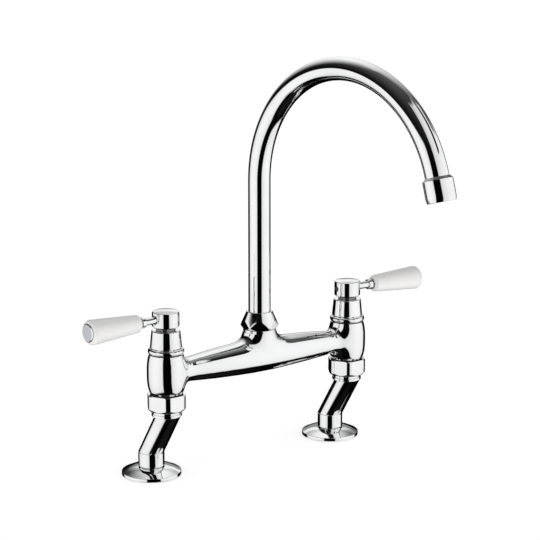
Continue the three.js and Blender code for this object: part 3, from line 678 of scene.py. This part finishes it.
def rough_casting():
    rough = bmesh.new()
    heights = np.linspace(BARREL_LOW - 2.5, BARREL_HIGH + 2.5, 24)
    barrel = [(0, heights[0]), *zip(barrel_radius(heights), heights), (0, heights[-1])]
    places = np.linspace(-BRIDGE_END, BRIDGE_END, 40)
    bridge = [(0, places[0]), *zip(bridge_radius(places), places), (0, places[-1])]
    for mesh in (
        moved(turned("barrel", barrel), shift(-VALVE_X)),
        moved(turned("barrel", barrel), shift(VALVE_X)),
        moved(turned("bridge", bridge), LYING, shift(z=BRIDGE_LEVEL - 0.4)),
        plain_disc(BOSS_RADIUS, BRIDGE_LEVEL, 109),
    ):
        rough.from_mesh(mesh)
        bpy.data.meshes.remove(mesh)
    mesh = bpy.data.meshes.new("rough_casting")
    rough.to_mesh(mesh)
    rough.free()
    return mesh


def slide_corners(shell):
    points = np.array([corner.co for corner in shell.verts]) / MM
    for corner, place in zip(shell.verts, slid_onto_field(points, casting_field) * MM):
        corner.co = place


def casting_mesh(square=0.8):
    mesh = through(rough_casting(), "REMESH", mode="VOXEL", voxel_size=square * MM)
    shell = bmesh.new()
    shell.from_mesh(mesh)
    for _ in range(3):
        slide_corners(shell)
        bmesh.ops.smooth_vert(
            shell, verts=shell.verts, factor=0.5, use_axis_x=True, use_axis_y=True, use_axis_z=True
        )
    slide_corners(shell)
    bmesh.ops.recalc_face_normals(shell, faces=shell.faces)
    shell.to_mesh(mesh)
    shell.free()
    return mesh


casting = casting_mesh()
print("the casting's skin has", len(casting.polygons), "faces")

# %% [markdown]
# The skin is trimmed level where nuts and bonnets sit. The plain ring and threads that were cut
# on a lathe are joined to it, and the bores are drilled last, as in the works.

# %% Trimming and boring the casting
def machined_casting(mesh):
    ends, tails, bores = [], [], []
    for x in (-VALVE_X, VALVE_X):
        ends += [
            moved(plain_disc(22, BARREL_LOW - 12, BARREL_LOW), shift(x)),
            moved(plain_disc(22, BARREL_HIGH, BARREL_HIGH + 12), shift(x)),
        ]
        tail = [(0, 64.4), (12.7, 64.4, 0.4), (12.7, BARREL_LOW + 1), (0, BARREL_LOW + 1)]
        tails.append(moved(turned("tail", rounded(*tail)), shift(x)))
        bores += [
            moved(plain_disc(6.5, 64, 80), shift(x)),
            moved(plain_disc(9.2, 73, 95), shift(x)),
            moved(plain_disc(10.4, 88.1, 102), shift(x)),
        ]
    ends.append(plain_disc(20, 106.8, 120))
    ring = [
        (0, 106), (13.0, 106), (13.0, 107), (13.35, 107, 0.1), (13.35, 108.9, 0.3), (11.4, 108.9),
        (11.4, 113.3, 0.3), (0, 113.3),
    ]
    bores += [
        moved(plain_disc(5, -88, 88), LYING, shift(z=86)),
        plain_disc(6.5, 81, 100),
        plain_disc(9, 92.3, 114),
    ]
    return cut(joined(cut(mesh, *ends), turned("ring", rounded(*ring)), *tails), *bores)


add_piece(
    "bridge_casting", machined_casting(casting), "bridge", "bridge_body", "casting",
)

# %% [markdown]
# ## Bonnet
#
# The bonnet hides the valve's cartridge. It screws on by hand, so it has a half-round bead at
# its foot to grip, with a fine groove on both sides of the bead that reads as a dark line.

# %% Bonnet
def bonnet_mesh():
    bead = [(14.35 - 2.3 + 2.3 * math.cos(a), 104.2 + 2.3 * math.sin(a))
            for a in (math.pi * (k / 16 - 0.5) for k in range(17))]
    outline = rounded(
        (11.4, 101.9), *bead, (12.3, 107), (12.6, 107.4, 0.15), (11.3, 120.8, 0.9), (7.8, 120.8),
        (7.8, 118.4), (10.1, 118.4), (11.4, 107),
    )
    return turned("bonnet", outline, 112, ring=True)


for side, sign in SIDES.items():
    mesh = moved(bonnet_mesh(), shift(sign * VALVE_X))
    add_piece(f"{side}_bonnet_shell", mesh, "bridge", f"{side}_bonnet", "turned")

# %% [markdown]
# ## Lever
#
# A lever is a short hub on the spindle, a rod that screws into the hub's side, a ceramic sleeve
# on the rod and a disc that holds the sleeve. A small screw opposite the rod locks the hub. Each
# piece is turned about its own axis and then laid along the lever, which points outwards. The disc
# is satin, and only its bevel is polished.

# %% Hub, rod, sleeve, end disc and screw
ROD_LEVEL = 130.0
BEVEL_START = 6.4  # from the lever's axis
LEVER_BEARING = {"left": 183, "right": -3}


def along_lever(mesh, side):
    return moved(mesh, LYING, shift(z=ROD_LEVEL), about_z(LEVER_BEARING[side]),
                 shift(SIDES[side] * VALVE_X))


def hub_mesh(side):
    crown = [(r, 136.4 - 0.55 * (r / 10) ** 2) for r in (9.6, 8, 6, 4, 2, 0)]
    outline = rounded(
        (0, 123.3), (9.6, 123.3, 0.2), (10.75, 124.3, 0.4), (10.75, 135.75, 0.75), *crown,
    )
    hub = moved(turned("hub", outline, 128), shift(SIDES[side] * VALVE_X))
    bore = moved(plain_disc(4.3, 123, 131), shift(SIDES[side] * VALVE_X))
    rod_hole = turned("hole", rounded(
        (0, 5.7), (3.3, 5.7), (3.3, 10.3, 0.2), (4.6, 11.5), (0, 11.5),
    ))
    screw_hole = plain_disc(2.3, -12, -4)
    return cut(hub, bore, along_lever(rod_hole, side), along_lever(screw_hole, side))


def rod_mesh():
    return turned("rod", rounded(
        (0, 6), (3, 6, 0.2), (3, 20.2, 0.3), (3.5, 20.5), (4.3, 20.5, 0.35), (4.3, 24.1, 0.35),
        (2.6, 24.1), (2.6, 60.1, 0.3), (0, 60.1),
    ), 64)


def sleeve_mesh():
    return turned("sleeve", rounded(
        (2.9, 25.3, 0.2), (5.1, 25.3, 0.4), (7, 27.3, 0.7), (10, 72, 3), (4.5, 72, 0.3),
        (4.5, 59.7), (2.9, 59.7), steps=8,
    ), 112, ring=True)


def end_disc_mesh():
    return turned("disc", rounded(
        (2.9, 60), (4.2, 60, 0.2), (4.2, 72.3), (7.2, 72.3, 0.1), (7.2, 72.7, 0.15),
        (6.45, 73.3, 0.4), (0, 73.3), (0, 72.3), (2.9, 72.3),
    ), ring=True)


def screw_mesh():
    screw = turned("screw", rounded((0, -9.6), (2, -9.6, 0.25), (2, -4.6, 0.4), (0, -4.6)), 32)
    return cut(screw, plain_disc(1.1, -10, -7.6, 6))


def end_disc_finish():
    """Satin chrome with a polished bevel. The levers mirror each other, so one rule in |X|
    measures the distance from both of their axes."""
    material = FINISHES["satin"].copy()
    material.name = "satin_chrome_with_polished_bevel"
    tree = material.node_tree
    shader = tree.nodes["Principled BSDF"]
    place = node(tree, "ShaderNodeSeparateXYZ",
                 {0: node(tree, "ShaderNodeTexCoord").outputs["Object"]})
    out = maths(tree, "SUBTRACT", maths(tree, "ABSOLUTE", place.outputs["X"]), VALVE_X * MM)
    lean = math.radians(-LEVER_BEARING["right"])
    across = maths(tree, "ADD", maths(tree, "MULTIPLY", place.outputs["Y"], math.cos(lean)),
                   maths(tree, "MULTIPLY", out, math.sin(lean)))
    height = maths(tree, "SUBTRACT", place.outputs["Z"], ROD_LEVEL * MM)
    distance = maths(tree, "SQRT", maths(tree, "ADD", maths(tree, "MULTIPLY", across, across),
                                         maths(tree, "MULTIPLY", height, height)))
    bevel = maths(tree, "GREATER_THAN", distance, BEVEL_START * MM)
    for socket, polished, kind in (
        ("Roughness", 0.03, "FLOAT"), ("Base Color", (0.87, 0.875, 0.88, 1), "RGBA"),
    ):
        satin = shader.inputs[socket].links[0].from_socket
        tree.links.new(mixed(tree, bevel, satin, polished, kind), shader.inputs[socket])
    return material


FINISHES["end_disc"] = end_disc_finish()

for side in SIDES:
    body = f"{side}_lever"
    add_piece(f"{side}_hub", hub_mesh(side), body, f"{side}_lever_hub", "turned")
    for name, mesh, end, finish, slot in (
        ("rod", rod_mesh(), "lever_rod", "turned", "chrome"),
        ("sleeve", sleeve_mesh(), "lever_sleeve", "ceramic", "sleeve_ceramic"),
        ("end_disc", end_disc_mesh(), "lever_end_cap", "end_disc", "satin_chrome"),
        ("locking_screw", screw_mesh(), "hub_grub_screw", "steel", "steel"),
    ):
        add_piece(f"{side}_{name}", along_lever(mesh, side), body, f"{side}_{end}", finish)

# %% [markdown]
# ## Spout
#
# The spout is a drawn tube, bent through 164 degrees. A tube that follows a path is what
# Geometry Nodes do well: a line is cut into equal steps, each point is moved to where that
# length of tube lies after bending, and a circle is carried along it. Because the nodes work
# from the length, the riser, the bend and the straight tail need no separate curves.

# %% Trees of Geometry Nodes
def new_tree(name, **inputs):
    """A Geometry Nodes tree with named inputs, and the sockets that carry them."""
    tree = bpy.data.node_groups.new(name, "GeometryNodeTree")
    tree.interface.new_socket("Geometry", in_out="OUTPUT", socket_type="NodeSocketGeometry")
    for key, value in inputs.items():
        kind = "NodeSocketInt" if isinstance(value, int) else "NodeSocketFloat"
        socket = tree.interface.new_socket(key.replace("_", " "), in_out="INPUT", socket_type=kind)
        socket.default_value = value
    source = tree.nodes.new("NodeGroupInput")
    return tree, {key: source.outputs[key.replace("_", " ")] for key in inputs}


def end_tree(tree, geometry, finish):
    realized = node(tree, "GeometryNodeRealizeInstances", {"Geometry": geometry})
    painted = node(tree, "GeometryNodeSetMaterial",
                   {"Geometry": realized.outputs[0], "Material": FINISHES[finish]})
    node(tree, "NodeGroupOutput", {0: painted.outputs[0]})
    return tree


def grown(tree, **inputs):
    """The mesh that a tree makes with these inputs."""
    labelled = {key.replace("_", " "): value for key, value in inputs.items()}
    return through(bpy.data.meshes.new("start"), "NODES", labelled, node_group=tree)


print("tree helpers ready")

# %% The tree that bends a tube
def bent_tube_tree():
    tree, size = new_tree("bent_tube", Radius=0.01, Foot=0.0, Riser=0.1, Bend_radius=0.1,
                          Turn=1.0, Tail=0.01, Bearing=0.0, Steps=100, Sides=32)
    bend = maths(tree, "MULTIPLY", size["Bend_radius"], size["Turn"])
    length = maths(tree, "ADD", size["Riser"], bend, size["Tail"])
    end = node(tree, "ShaderNodeCombineXYZ", {"Z": length})
    line = node(tree, "GeometryNodeCurvePrimitiveLine", {"End": end.outputs[0]})
    stepped = node(tree, "GeometryNodeResampleCurve",
                   {"Curve": line.outputs[0], "Count": size["Steps"]})
    place = node(tree, "ShaderNodeSeparateXYZ",
                 {0: node(tree, "GeometryNodeInputPosition").outputs[0]})
    along = place.outputs["Z"]
    risen = maths(tree, "MINIMUM", along, size["Riser"])
    past = maths(tree, "SUBTRACT", along, size["Riser"])
    raw_turn = maths(tree, "DIVIDE", past, size["Bend_radius"])
    turn = maths(tree, "MAXIMUM", maths(tree, "MINIMUM", raw_turn, size["Turn"]), 0.0)
    tail = maths(tree, "MAXIMUM", maths(tree, "SUBTRACT", past, bend), 0.0)
    sine, cosine = maths(tree, "SINE", turn), maths(tree, "COSINE", turn)
    reach = maths(tree, "MULTIPLY", size["Bend_radius"], maths(tree, "SUBTRACT", 1.0, cosine))
    reach = maths(tree, "ADD", reach, maths(tree, "MULTIPLY", tail, sine))
    height = maths(tree, "ADD", size["Foot"], risen,
                   maths(tree, "MULTIPLY", size["Bend_radius"], sine),
                   maths(tree, "MULTIPLY", tail, cosine))
    bent = node(tree, "ShaderNodeCombineXYZ", {
        "X": maths(tree, "MULTIPLY", reach, maths(tree, "COSINE", size["Bearing"])),
        "Y": maths(tree, "MULTIPLY", reach, maths(tree, "SINE", size["Bearing"])),
        "Z": height,
    })
    path = node(tree, "GeometryNodeSetPosition",
                {"Geometry": stepped.outputs[0], "Position": bent.outputs[0]})
    circle = node(tree, "GeometryNodeCurvePrimitiveCircle",
                  {"Resolution": size["Sides"], "Radius": size["Radius"]})
    tube = node(tree, "GeometryNodeCurveToMesh",
                {"Curve": path.outputs[0], "Profile Curve": circle.outputs["Curve"]})
    return end_tree(tree, tube.outputs[0], "drawn")


print("the tree has", len(bent_tube_tree().nodes), "nodes")

# %% [markdown]
# The skin of the tube gets its wall from Solidify, which grows inwards, so that the outside
# stays 18 mm wide. The wall shows at neither end, because the tube ends inside other pieces.

# %% Spout tube
TUBE_RADIUS = 9.0
TUBE_WALL = 1.0
TUBE_FOOT = 116.7
ARC_START = 230.1
BEND_RADIUS = 96.3
BEND_TURN = math.radians(164)
TAIL = 6.0  # straight, inside the aerator
SPOUT_BEARING = math.radians(-83.1)


def spout_mesh():
    skin = grown(
        bpy.data.node_groups["bent_tube"], Radius=TUBE_RADIUS * MM, Foot=TUBE_FOOT * MM,
        Riser=(ARC_START - TUBE_FOOT) * MM, Bend_radius=BEND_RADIUS * MM, Turn=BEND_TURN,
        Tail=TAIL * MM, Bearing=SPOUT_BEARING, Steps=200, Sides=96,
    )
    return through(merged("spout", skin), "SOLIDIFY", thickness=TUBE_WALL * MM, offset=-1)


spout = spout_mesh()
riser = [corner.co for corner in spout.vertices if corner.co.z < 0.2]
widest = max(math.hypot(place.x, place.y) for place in riser)
print("the riser is", round(widest * 2 / MM, 2), "mm wide")
add_piece("spout_neck", spout, "spout", "spout_tube", "drawn")

# %% [markdown]
# ## Aerator
#
# The outlet carries a wider sleeve that screws onto the tube, with a chamfer at its top and a
# lip that turns in at its mouth. It is turned upright and then moved to the end of the bend.

# %% Aerator housing
def at_outlet(mesh):
    """The mesh moved from the axis of the worktop's frame to the end of the bend."""
    lean = Matrix.Rotation(BEND_TURN, 4, "Y")
    end = shift(BEND_RADIUS * (1 - math.cos(BEND_TURN)), 0,
                ARC_START + BEND_RADIUS * math.sin(BEND_TURN))
    return moved(mesh, lean, end, Matrix.Rotation(SPOUT_BEARING, 4, "Z"))


def housing_mesh():
    side = [tuple(p) for p in bow((11.4, 13.5), (11.4, 16.6), (10.6, 18.6))]
    return turned("housing", rounded(
        (9.3, 0, 0.1), (11.4, 2.3, 0.35), (11.4, 13.5), *side[:-1], (10.6, 18.6, 0.3),
        (8.3, 18.6, 0.2), (8.3, 16.3), (9.6, 16.3), (9.6, 6), (9.3, 6),
    ), 128, ring=True)


housing = at_outlet(housing_mesh())
add_piece("outlet_sleeve", housing, "spout", "aerator_housing", "turned")

# %% [markdown]
# Inside the mouth is a woven screen. Each wire is a short curve that goes over one crossing wire
# and under the next, so its height is a sine along its length, and its neighbour's is the same
# sine turned over. Nodes make the wires of one direction; the other direction is a copy, turned
# by 90 degrees and turned over.

# %% The tree that weaves the screen
def screen_tree():
    tree, size = new_tree("woven_screen", Radius=0.009, Pitch=0.0008, Wire=0.00012,
                          Middle=0.0155, Wires=23, Steps=70)
    unit = node(tree, "GeometryNodeCurvePrimitiveLine", {"Start": (-1, 0, 0), "End": (1, 0, 0)})
    stepped = node(tree, "GeometryNodeResampleCurve",
                   {"Curve": unit.outputs[0], "Count": size["Steps"]})
    half = maths(tree, "MULTIPLY", maths(tree, "SUBTRACT", size["Wires"], 1.0), 0.5)
    start = node(tree, "ShaderNodeCombineXYZ", {
        "Y": maths(tree, "MULTIPLY", half, size["Pitch"], -1.0),
    })
    pitch = node(tree, "ShaderNodeCombineXYZ", {"Y": size["Pitch"]})
    rows = node(tree, "GeometryNodeMeshLine", {
        "Count": size["Wires"], "Start Location": start.outputs[0], "Offset": pitch.outputs[0],
    })
    laid = node(tree, "GeometryNodeInstanceOnPoints",
                {"Points": rows.outputs[0], "Instance": stepped.outputs[0]})
    wires = node(tree, "GeometryNodeRealizeInstances", {"Geometry": laid.outputs[0]})
    place = node(tree, "ShaderNodeSeparateXYZ",
                 {0: node(tree, "GeometryNodeInputPosition").outputs[0]})
    across = place.outputs["Y"]
    room = maths(tree, "SUBTRACT", maths(tree, "MULTIPLY", size["Radius"], size["Radius"]),
                 maths(tree, "MULTIPLY", across, across))
    chord = maths(tree, "SQRT", maths(tree, "MAXIMUM", room, 0.0))
    along = maths(tree, "MULTIPLY", place.outputs["X"], chord)
    row = maths(tree, "ROUND", maths(tree, "DIVIDE", across, size["Pitch"]))
    phase = maths(tree, "MULTIPLY", maths(tree, "ADD", row, 0.5), math.pi)
    angle = maths(tree, "ADD", phase,
                  maths(tree, "MULTIPLY", maths(tree, "DIVIDE", along, size["Pitch"]), math.pi))
    weave = maths(tree, "MULTIPLY", maths(tree, "SINE", angle), size["Wire"])
    woven = node(tree, "ShaderNodeCombineXYZ", {
        "X": along, "Y": across, "Z": maths(tree, "ADD", weave, size["Middle"]),
    })
    path = node(tree, "GeometryNodeSetPosition",
                {"Geometry": wires.outputs[0], "Position": woven.outputs[0]})
    circle = node(tree, "GeometryNodeCurvePrimitiveCircle",
                  {"Resolution": 6, "Radius": size["Wire"]})
    skin = node(tree, "GeometryNodeCurveToMesh", {
        "Curve": path.outputs[0], "Profile Curve": circle.outputs["Curve"], "Fill Caps": True,
    })
    return end_tree(tree, skin.outputs[0], "steel")


print("the tree has", len(screen_tree().nodes), "nodes")


# %% Aerator screen
SCREEN_MIDDLE = 15.5


def screen_mesh():
    tree = bpy.data.node_groups["woven_screen"]
    one_way = grown(tree, Radius=8.6 * MM, Pitch=0.8 * MM, Wire=0.12 * MM,
                    Middle=SCREEN_MIDDLE * MM, Wires=21, Steps=80)
    other_way = one_way.copy()
    flip = Matrix.Rotation(math.pi, 4, "X") @ Matrix.Rotation(math.pi / 2, 4, "Z")
    moved(other_way, shift(z=-SCREEN_MIDDLE), flip, shift(z=SCREEN_MIDDLE))
    rim = turned("rim", rounded((8.3, 15, 0.2), (9.3, 15, 0.2), (9.3, 16, 0.2), (8.3, 16, 0.2)),
                 ring=True)
    return merged("screen", one_way, other_way, rim)


add_piece("woven_screen", at_outlet(screen_mesh()), "spout", "aerator_screen", "steel")

# %% [markdown]
# ## Pieces inside
#
# Cartridges, seals, clips and discs keep the shapes of the imported model. They show only when the
# tap is taken apart, or a little through a gap, so each gets its own finish and nothing more. Where
# the cartridge's neck shows in the gap under the hub, its finish is painted dark grey as shade.

# %% Finishes of the pieces inside
INSIDE = {
    "brass": ("spout_base_bush",),
    "cartridge": ("cartridge_body", "valve_spindle"),
    "nylon": ("spout_split_ring", "aerator_insert"),
    "rubber": ("spout_o_ring_lower", "spout_o_ring_upper", "aerator_seal", "flange_seal",
               "cartridge_seal", "cartridge_o_ring", "spindle_o_ring", "sleeve_washer"),
    "steel": ("union_clip",),
    "fibre": ("union_washer",),
    "alumina": ("fixed_disc", "moving_disc"),
}

for finish, ends in INSIDE.items():
    found = [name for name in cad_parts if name.endswith(ends)]
    for name in found:
        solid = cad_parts[name]
        for slot in solid.material_slots:
            slot.material = FINISHES[finish]
    print(finish, "on", ", ".join(found))

# %% [markdown]
# ## Studio
#
# Chrome shows its surroundings, so the surroundings are built with as much care as the tap. In
# the picture a broad black panel stands where the camera is, which puts a dark stripe down every
# upright cylinder. White cloths hang on both sides, and the room behind the worktop fades to
# grey. Real panels would be the plainest way, but lamps of their size would also flood the pale
# sleeves. So they are painted on a large sphere that only reflections can see.
#
# The sky is brightest at the horizon and dimmer overhead, which gives the pale sleeves their darker
# tops.
#
# The floor is white by its colour and by a glow of its own. The glow isn't limited to the camera,
# so it also lights the tap from below. The floor keeps the tap's shadow. The chrome doesn't show
# it: the sphere shows the dark table that the picture's reflections show.

# %% Even light and the floor
SKY_OVERHEAD = 0.3
SKY_GAIN = 1.5  # added at the horizon
FLOOR_GLOW = 0.53  # for every ray, so it also lights the tap from below

scene.view_settings.view_transform = "Standard"
world = bpy.data.worlds.new("studio")
world.use_nodes = True
scene.world = world


def sky(tree):
    """Bright near the horizon and dimmer overhead, but plain white for the camera, for mirrors
    and through glass."""
    place = node(tree, "ShaderNodeTexCoord")
    upward = node(tree, "ShaderNodeSeparateXYZ", {0: place.outputs["Generated"]}).outputs["Z"]
    low = maths(tree, "SUBTRACT", 1.0, maths(tree, "MAXIMUM", upward, 0.0))
    level = maths(tree, "ADD", maths(tree, "MULTIPLY", low, low, SKY_GAIN), SKY_OVERHEAD)
    rays = node(tree, "ShaderNodeLightPath").outputs
    seen = maths(tree, "MAXIMUM", rays["Is Camera Ray"], rays["Is Glossy Ray"],
                 rays["Is Transmission Ray"])
    lit = maths(tree, "MULTIPLY", level, maths(tree, "SUBTRACT", 1.0, seen))
    background = tree.nodes["Background"]
    background.inputs["Color"].default_value = (1, 1, 1, 1)
    tree.links.new(maths(tree, "ADD", lit, seen), background.inputs["Strength"])


sky(world.node_tree)


def backdrop(name, mesh, material):
    """An object of the studio, which isn't a part of the tap."""
    mesh.materials.append(material)
    thing = bpy.data.objects.new(name, mesh)
    scene.collection.objects.link(thing)
    return thing


def floor_material():
    material = new_finish("white_paper", Roughness=1.0, Specular_IOR_Level=0.0)
    vary(material, "Base Color", marks(material, 0.01), (0.9, 0.9, 0.9), (0.93, 0.93, 0.93))
    tree = material.node_tree
    glow = node(tree, "ShaderNodeEmission", {"Strength": FLOOR_GLOW})
    both = node(tree, "ShaderNodeAddShader",
                {0: tree.nodes["Principled BSDF"].outputs[0], 1: glow.outputs[0]})
    tree.links.new(both.outputs[0], tree.nodes["Material Output"].inputs["Surface"])
    return material


FLOOR_EDGE, FLOOR_DROP = 6000, -0.2
corners = [(x * FLOOR_EDGE, y * FLOOR_EDGE, FLOOR_DROP)
           for x, y in ((-1, -1), (1, -1), (1, 1), (-1, 1))]
floor = backdrop("floor", mesh_from("floor", corners, [(0, 1, 2, 3)]), floor_material())
floor.visible_glossy = False
print("floor laid")

# %% [markdown]
# The painted sphere works in angles. "Aside" is the bearing of a direction, counted from the
# camera towards the right of the picture, and "rise" is its height above level. Each panel is a
# product of soft steps in those two angles, and its numbers are degrees: where an edge lies, and
# over how many it fades. The sphere gives no light to dull surfaces, because
# only rays from mirrors can see it. A small dark panel before the right-hand cloth makes the dark
# band along the top of the bridge.

# %% The reflected surroundings
def soft_step(tree, value, start, end):
    """0 before start and 1 after end, or the other way round where end is less than start."""
    low, high = (start, end) if start < end else (end, start)
    result = (0.0, 1.0) if start < end else (1.0, 0.0)
    return node(tree, "ShaderNodeMapRange", {
        "Value": value, "From Min": low, "From Max": high, "To Min": result[0], "To Max": result[1],
    }, interpolation_type="SMOOTHSTEP").outputs[0]


def surroundings_material():
    material = bpy.data.materials.new("surroundings")
    material.use_nodes = True
    tree = material.node_tree
    tree.nodes.clear()

    def add(*values):
        return maths(tree, "ADD", *values)

    def times(*values):
        return maths(tree, "MULTIPLY", *values)

    def line(source, slope, start):
        """start + slope * source"""
        return add(times(source, slope), start)

    def bowl(source, middle, curve, start):
        """start + curve * (source - middle) squared"""
        off = add(source, -middle)
        return add(times(off, off, curve), start)

    def less(value, edge, soft):
        """1 where the value is below the edge, 0 where above it, softly."""
        return soft_step(tree, maths(tree, "SUBTRACT", value, edge), soft, -soft)

    def more(value, edge, soft):
        return soft_step(tree, maths(tree, "SUBTRACT", value, edge), -soft, soft)

    def over(under, mask, level):
        """The level where the mask is 1, and what lies under it where the mask is 0."""
        return add(times(under, maths(tree, "SUBTRACT", 1.0, mask)), times(mask, level))

    place = node(tree, "ShaderNodeTexCoord")
    turn = node(tree, "ShaderNodeMapping", {
        "Vector": place.outputs["Object"], "Rotation": (0, 0, math.radians(90) + CAMERA_TURN),
    })
    parts = node(tree, "ShaderNodeSeparateXYZ", {0: turn.outputs[0]})
    toward, rightward, upward = parts.outputs
    flat = maths(tree, "SQRT", add(times(toward, toward), times(rightward, rightward)))
    aside = times(maths(tree, "ARCTAN2", rightward, toward), 180 / math.pi)
    rise = times(maths(tree, "ARCTAN2", upward, flat), 180 / math.pi)
    wide = maths(tree, "ABSOLUTE", aside)

    # the dark room, lighter towards its ceiling, and the pale wall behind the tap
    height = maths(tree, "MAXIMUM", line(rise, 1 / 70, -20 / 70), 0.0)
    room = line(times(height, height), 0.115, 0.001)
    low_edge = maths(tree, "MAXIMUM", line(rise, -2.4, 162), 157)
    wall_edge = maths(tree, "MINIMUM", line(rise, -0.8, 176), low_edge)
    wall_soft = maths(tree, "MAXIMUM", line(rise, 0.75, 6), 8)
    from_edge = maths(tree, "DIVIDE", maths(tree, "SUBTRACT", wide, wall_edge), wall_soft)
    wall = soft_step(tree, from_edge, -1, 1)
    low_wall = times(more(rise, -17, 18), 0.3)
    shade = times(more(rise, 21, 3), less(rise, 34, 9), -0.3)
    high_wall = times(more(rise, 9.5, 3.5), add(shade, 0.7), less(rise, 82, 22))
    room = add(room, times(wall, add(low_wall, high_wall, 0.012)))
    floor_level = times(less(rise, -62, 6), 0.008)
    room = add(room, floor_level)

    # the cloth on the left
    left_cloth = times(
        more(aside, -114, 4), less(aside, -22, 2.5),
        less(rise, line(aside, 0.13, 32.2), 2.5), more(rise, -41, 3.5),
    )
    left_level = add(bowl(aside, -65, -0.2 / 45**2, 1.06), bowl(rise, 0, -0.15 / 45**2, 0))
    room = over(room, left_cloth, left_level)

    # the cloth on the right, with a gap behind it
    below = maths(tree, "MINIMUM", rise, 0.0)
    above = maths(tree, "MAXIMUM", rise, 0.0)
    front_edge = add(bowl(below, 0, 0.006, 23.5), times(above, -0.09))
    top_edge = maths(tree, "MINIMUM", line(aside, -0.5, 102), 62)
    right_cloth = times(
        more(aside, front_edge, 2.5), less(aside, 121, 3),
        less(rise, top_edge, 2), more(rise, bowl(aside, 70, 0.005, -51.5), 3),
    )
    right_level = add(bowl(aside, 80, -0.16 / 45**2, 1.06), bowl(rise, 0, -0.11 / 45**2, 0))
    room = over(room, right_cloth, right_level)
    gap = less(add(bowl(aside, 112, 1 / 20**2, 0), bowl(rise, 41, 1 / 7.5**2, 0)), 1.0, 0.35)
    room = over(room, gap, 0.09)

    # a dark panel in front of that cloth, fading upwards: the line along the top of the bridge
    panel = times(
        more(aside, line(rise, 0.6, 35), 1.5), less(aside, line(rise, 1, 37), 1.5),
        more(rise, 34, 1), less(rise, 62, 1),
    )
    share = maths(tree, "MAXIMUM", line(rise, 1 / 21, -38 / 21), 0.0)
    room = over(room, panel, line(times(share, share, share), 0.17, 0.008))

    glow = node(tree, "ShaderNodeEmission", {"Strength": room})
    node(tree, "ShaderNodeOutputMaterial", {"Surface": glow.outputs[0]})
    return material


def surroundings_mesh(radius=620, rings=24, sides=48):
    half_circle = [math.pi * k / rings - math.pi / 2 for k in range(rings + 1)]
    outline = [(max(radius * math.cos(a), 0), radius * math.sin(a)) for a in half_circle]
    return turned("surroundings", outline, sides)


def only_in_mirrors(thing):
    for ray in ("camera", "diffuse", "transmission", "volume_scatter", "shadow"):
        setattr(thing, f"visible_{ray}", False)


TENT_LEVEL = 120
tent = backdrop("surroundings", surroundings_mesh(), surroundings_material())
tent.location.z = TENT_LEVEL * MM
only_in_mirrors(tent)
print("surroundings in place")
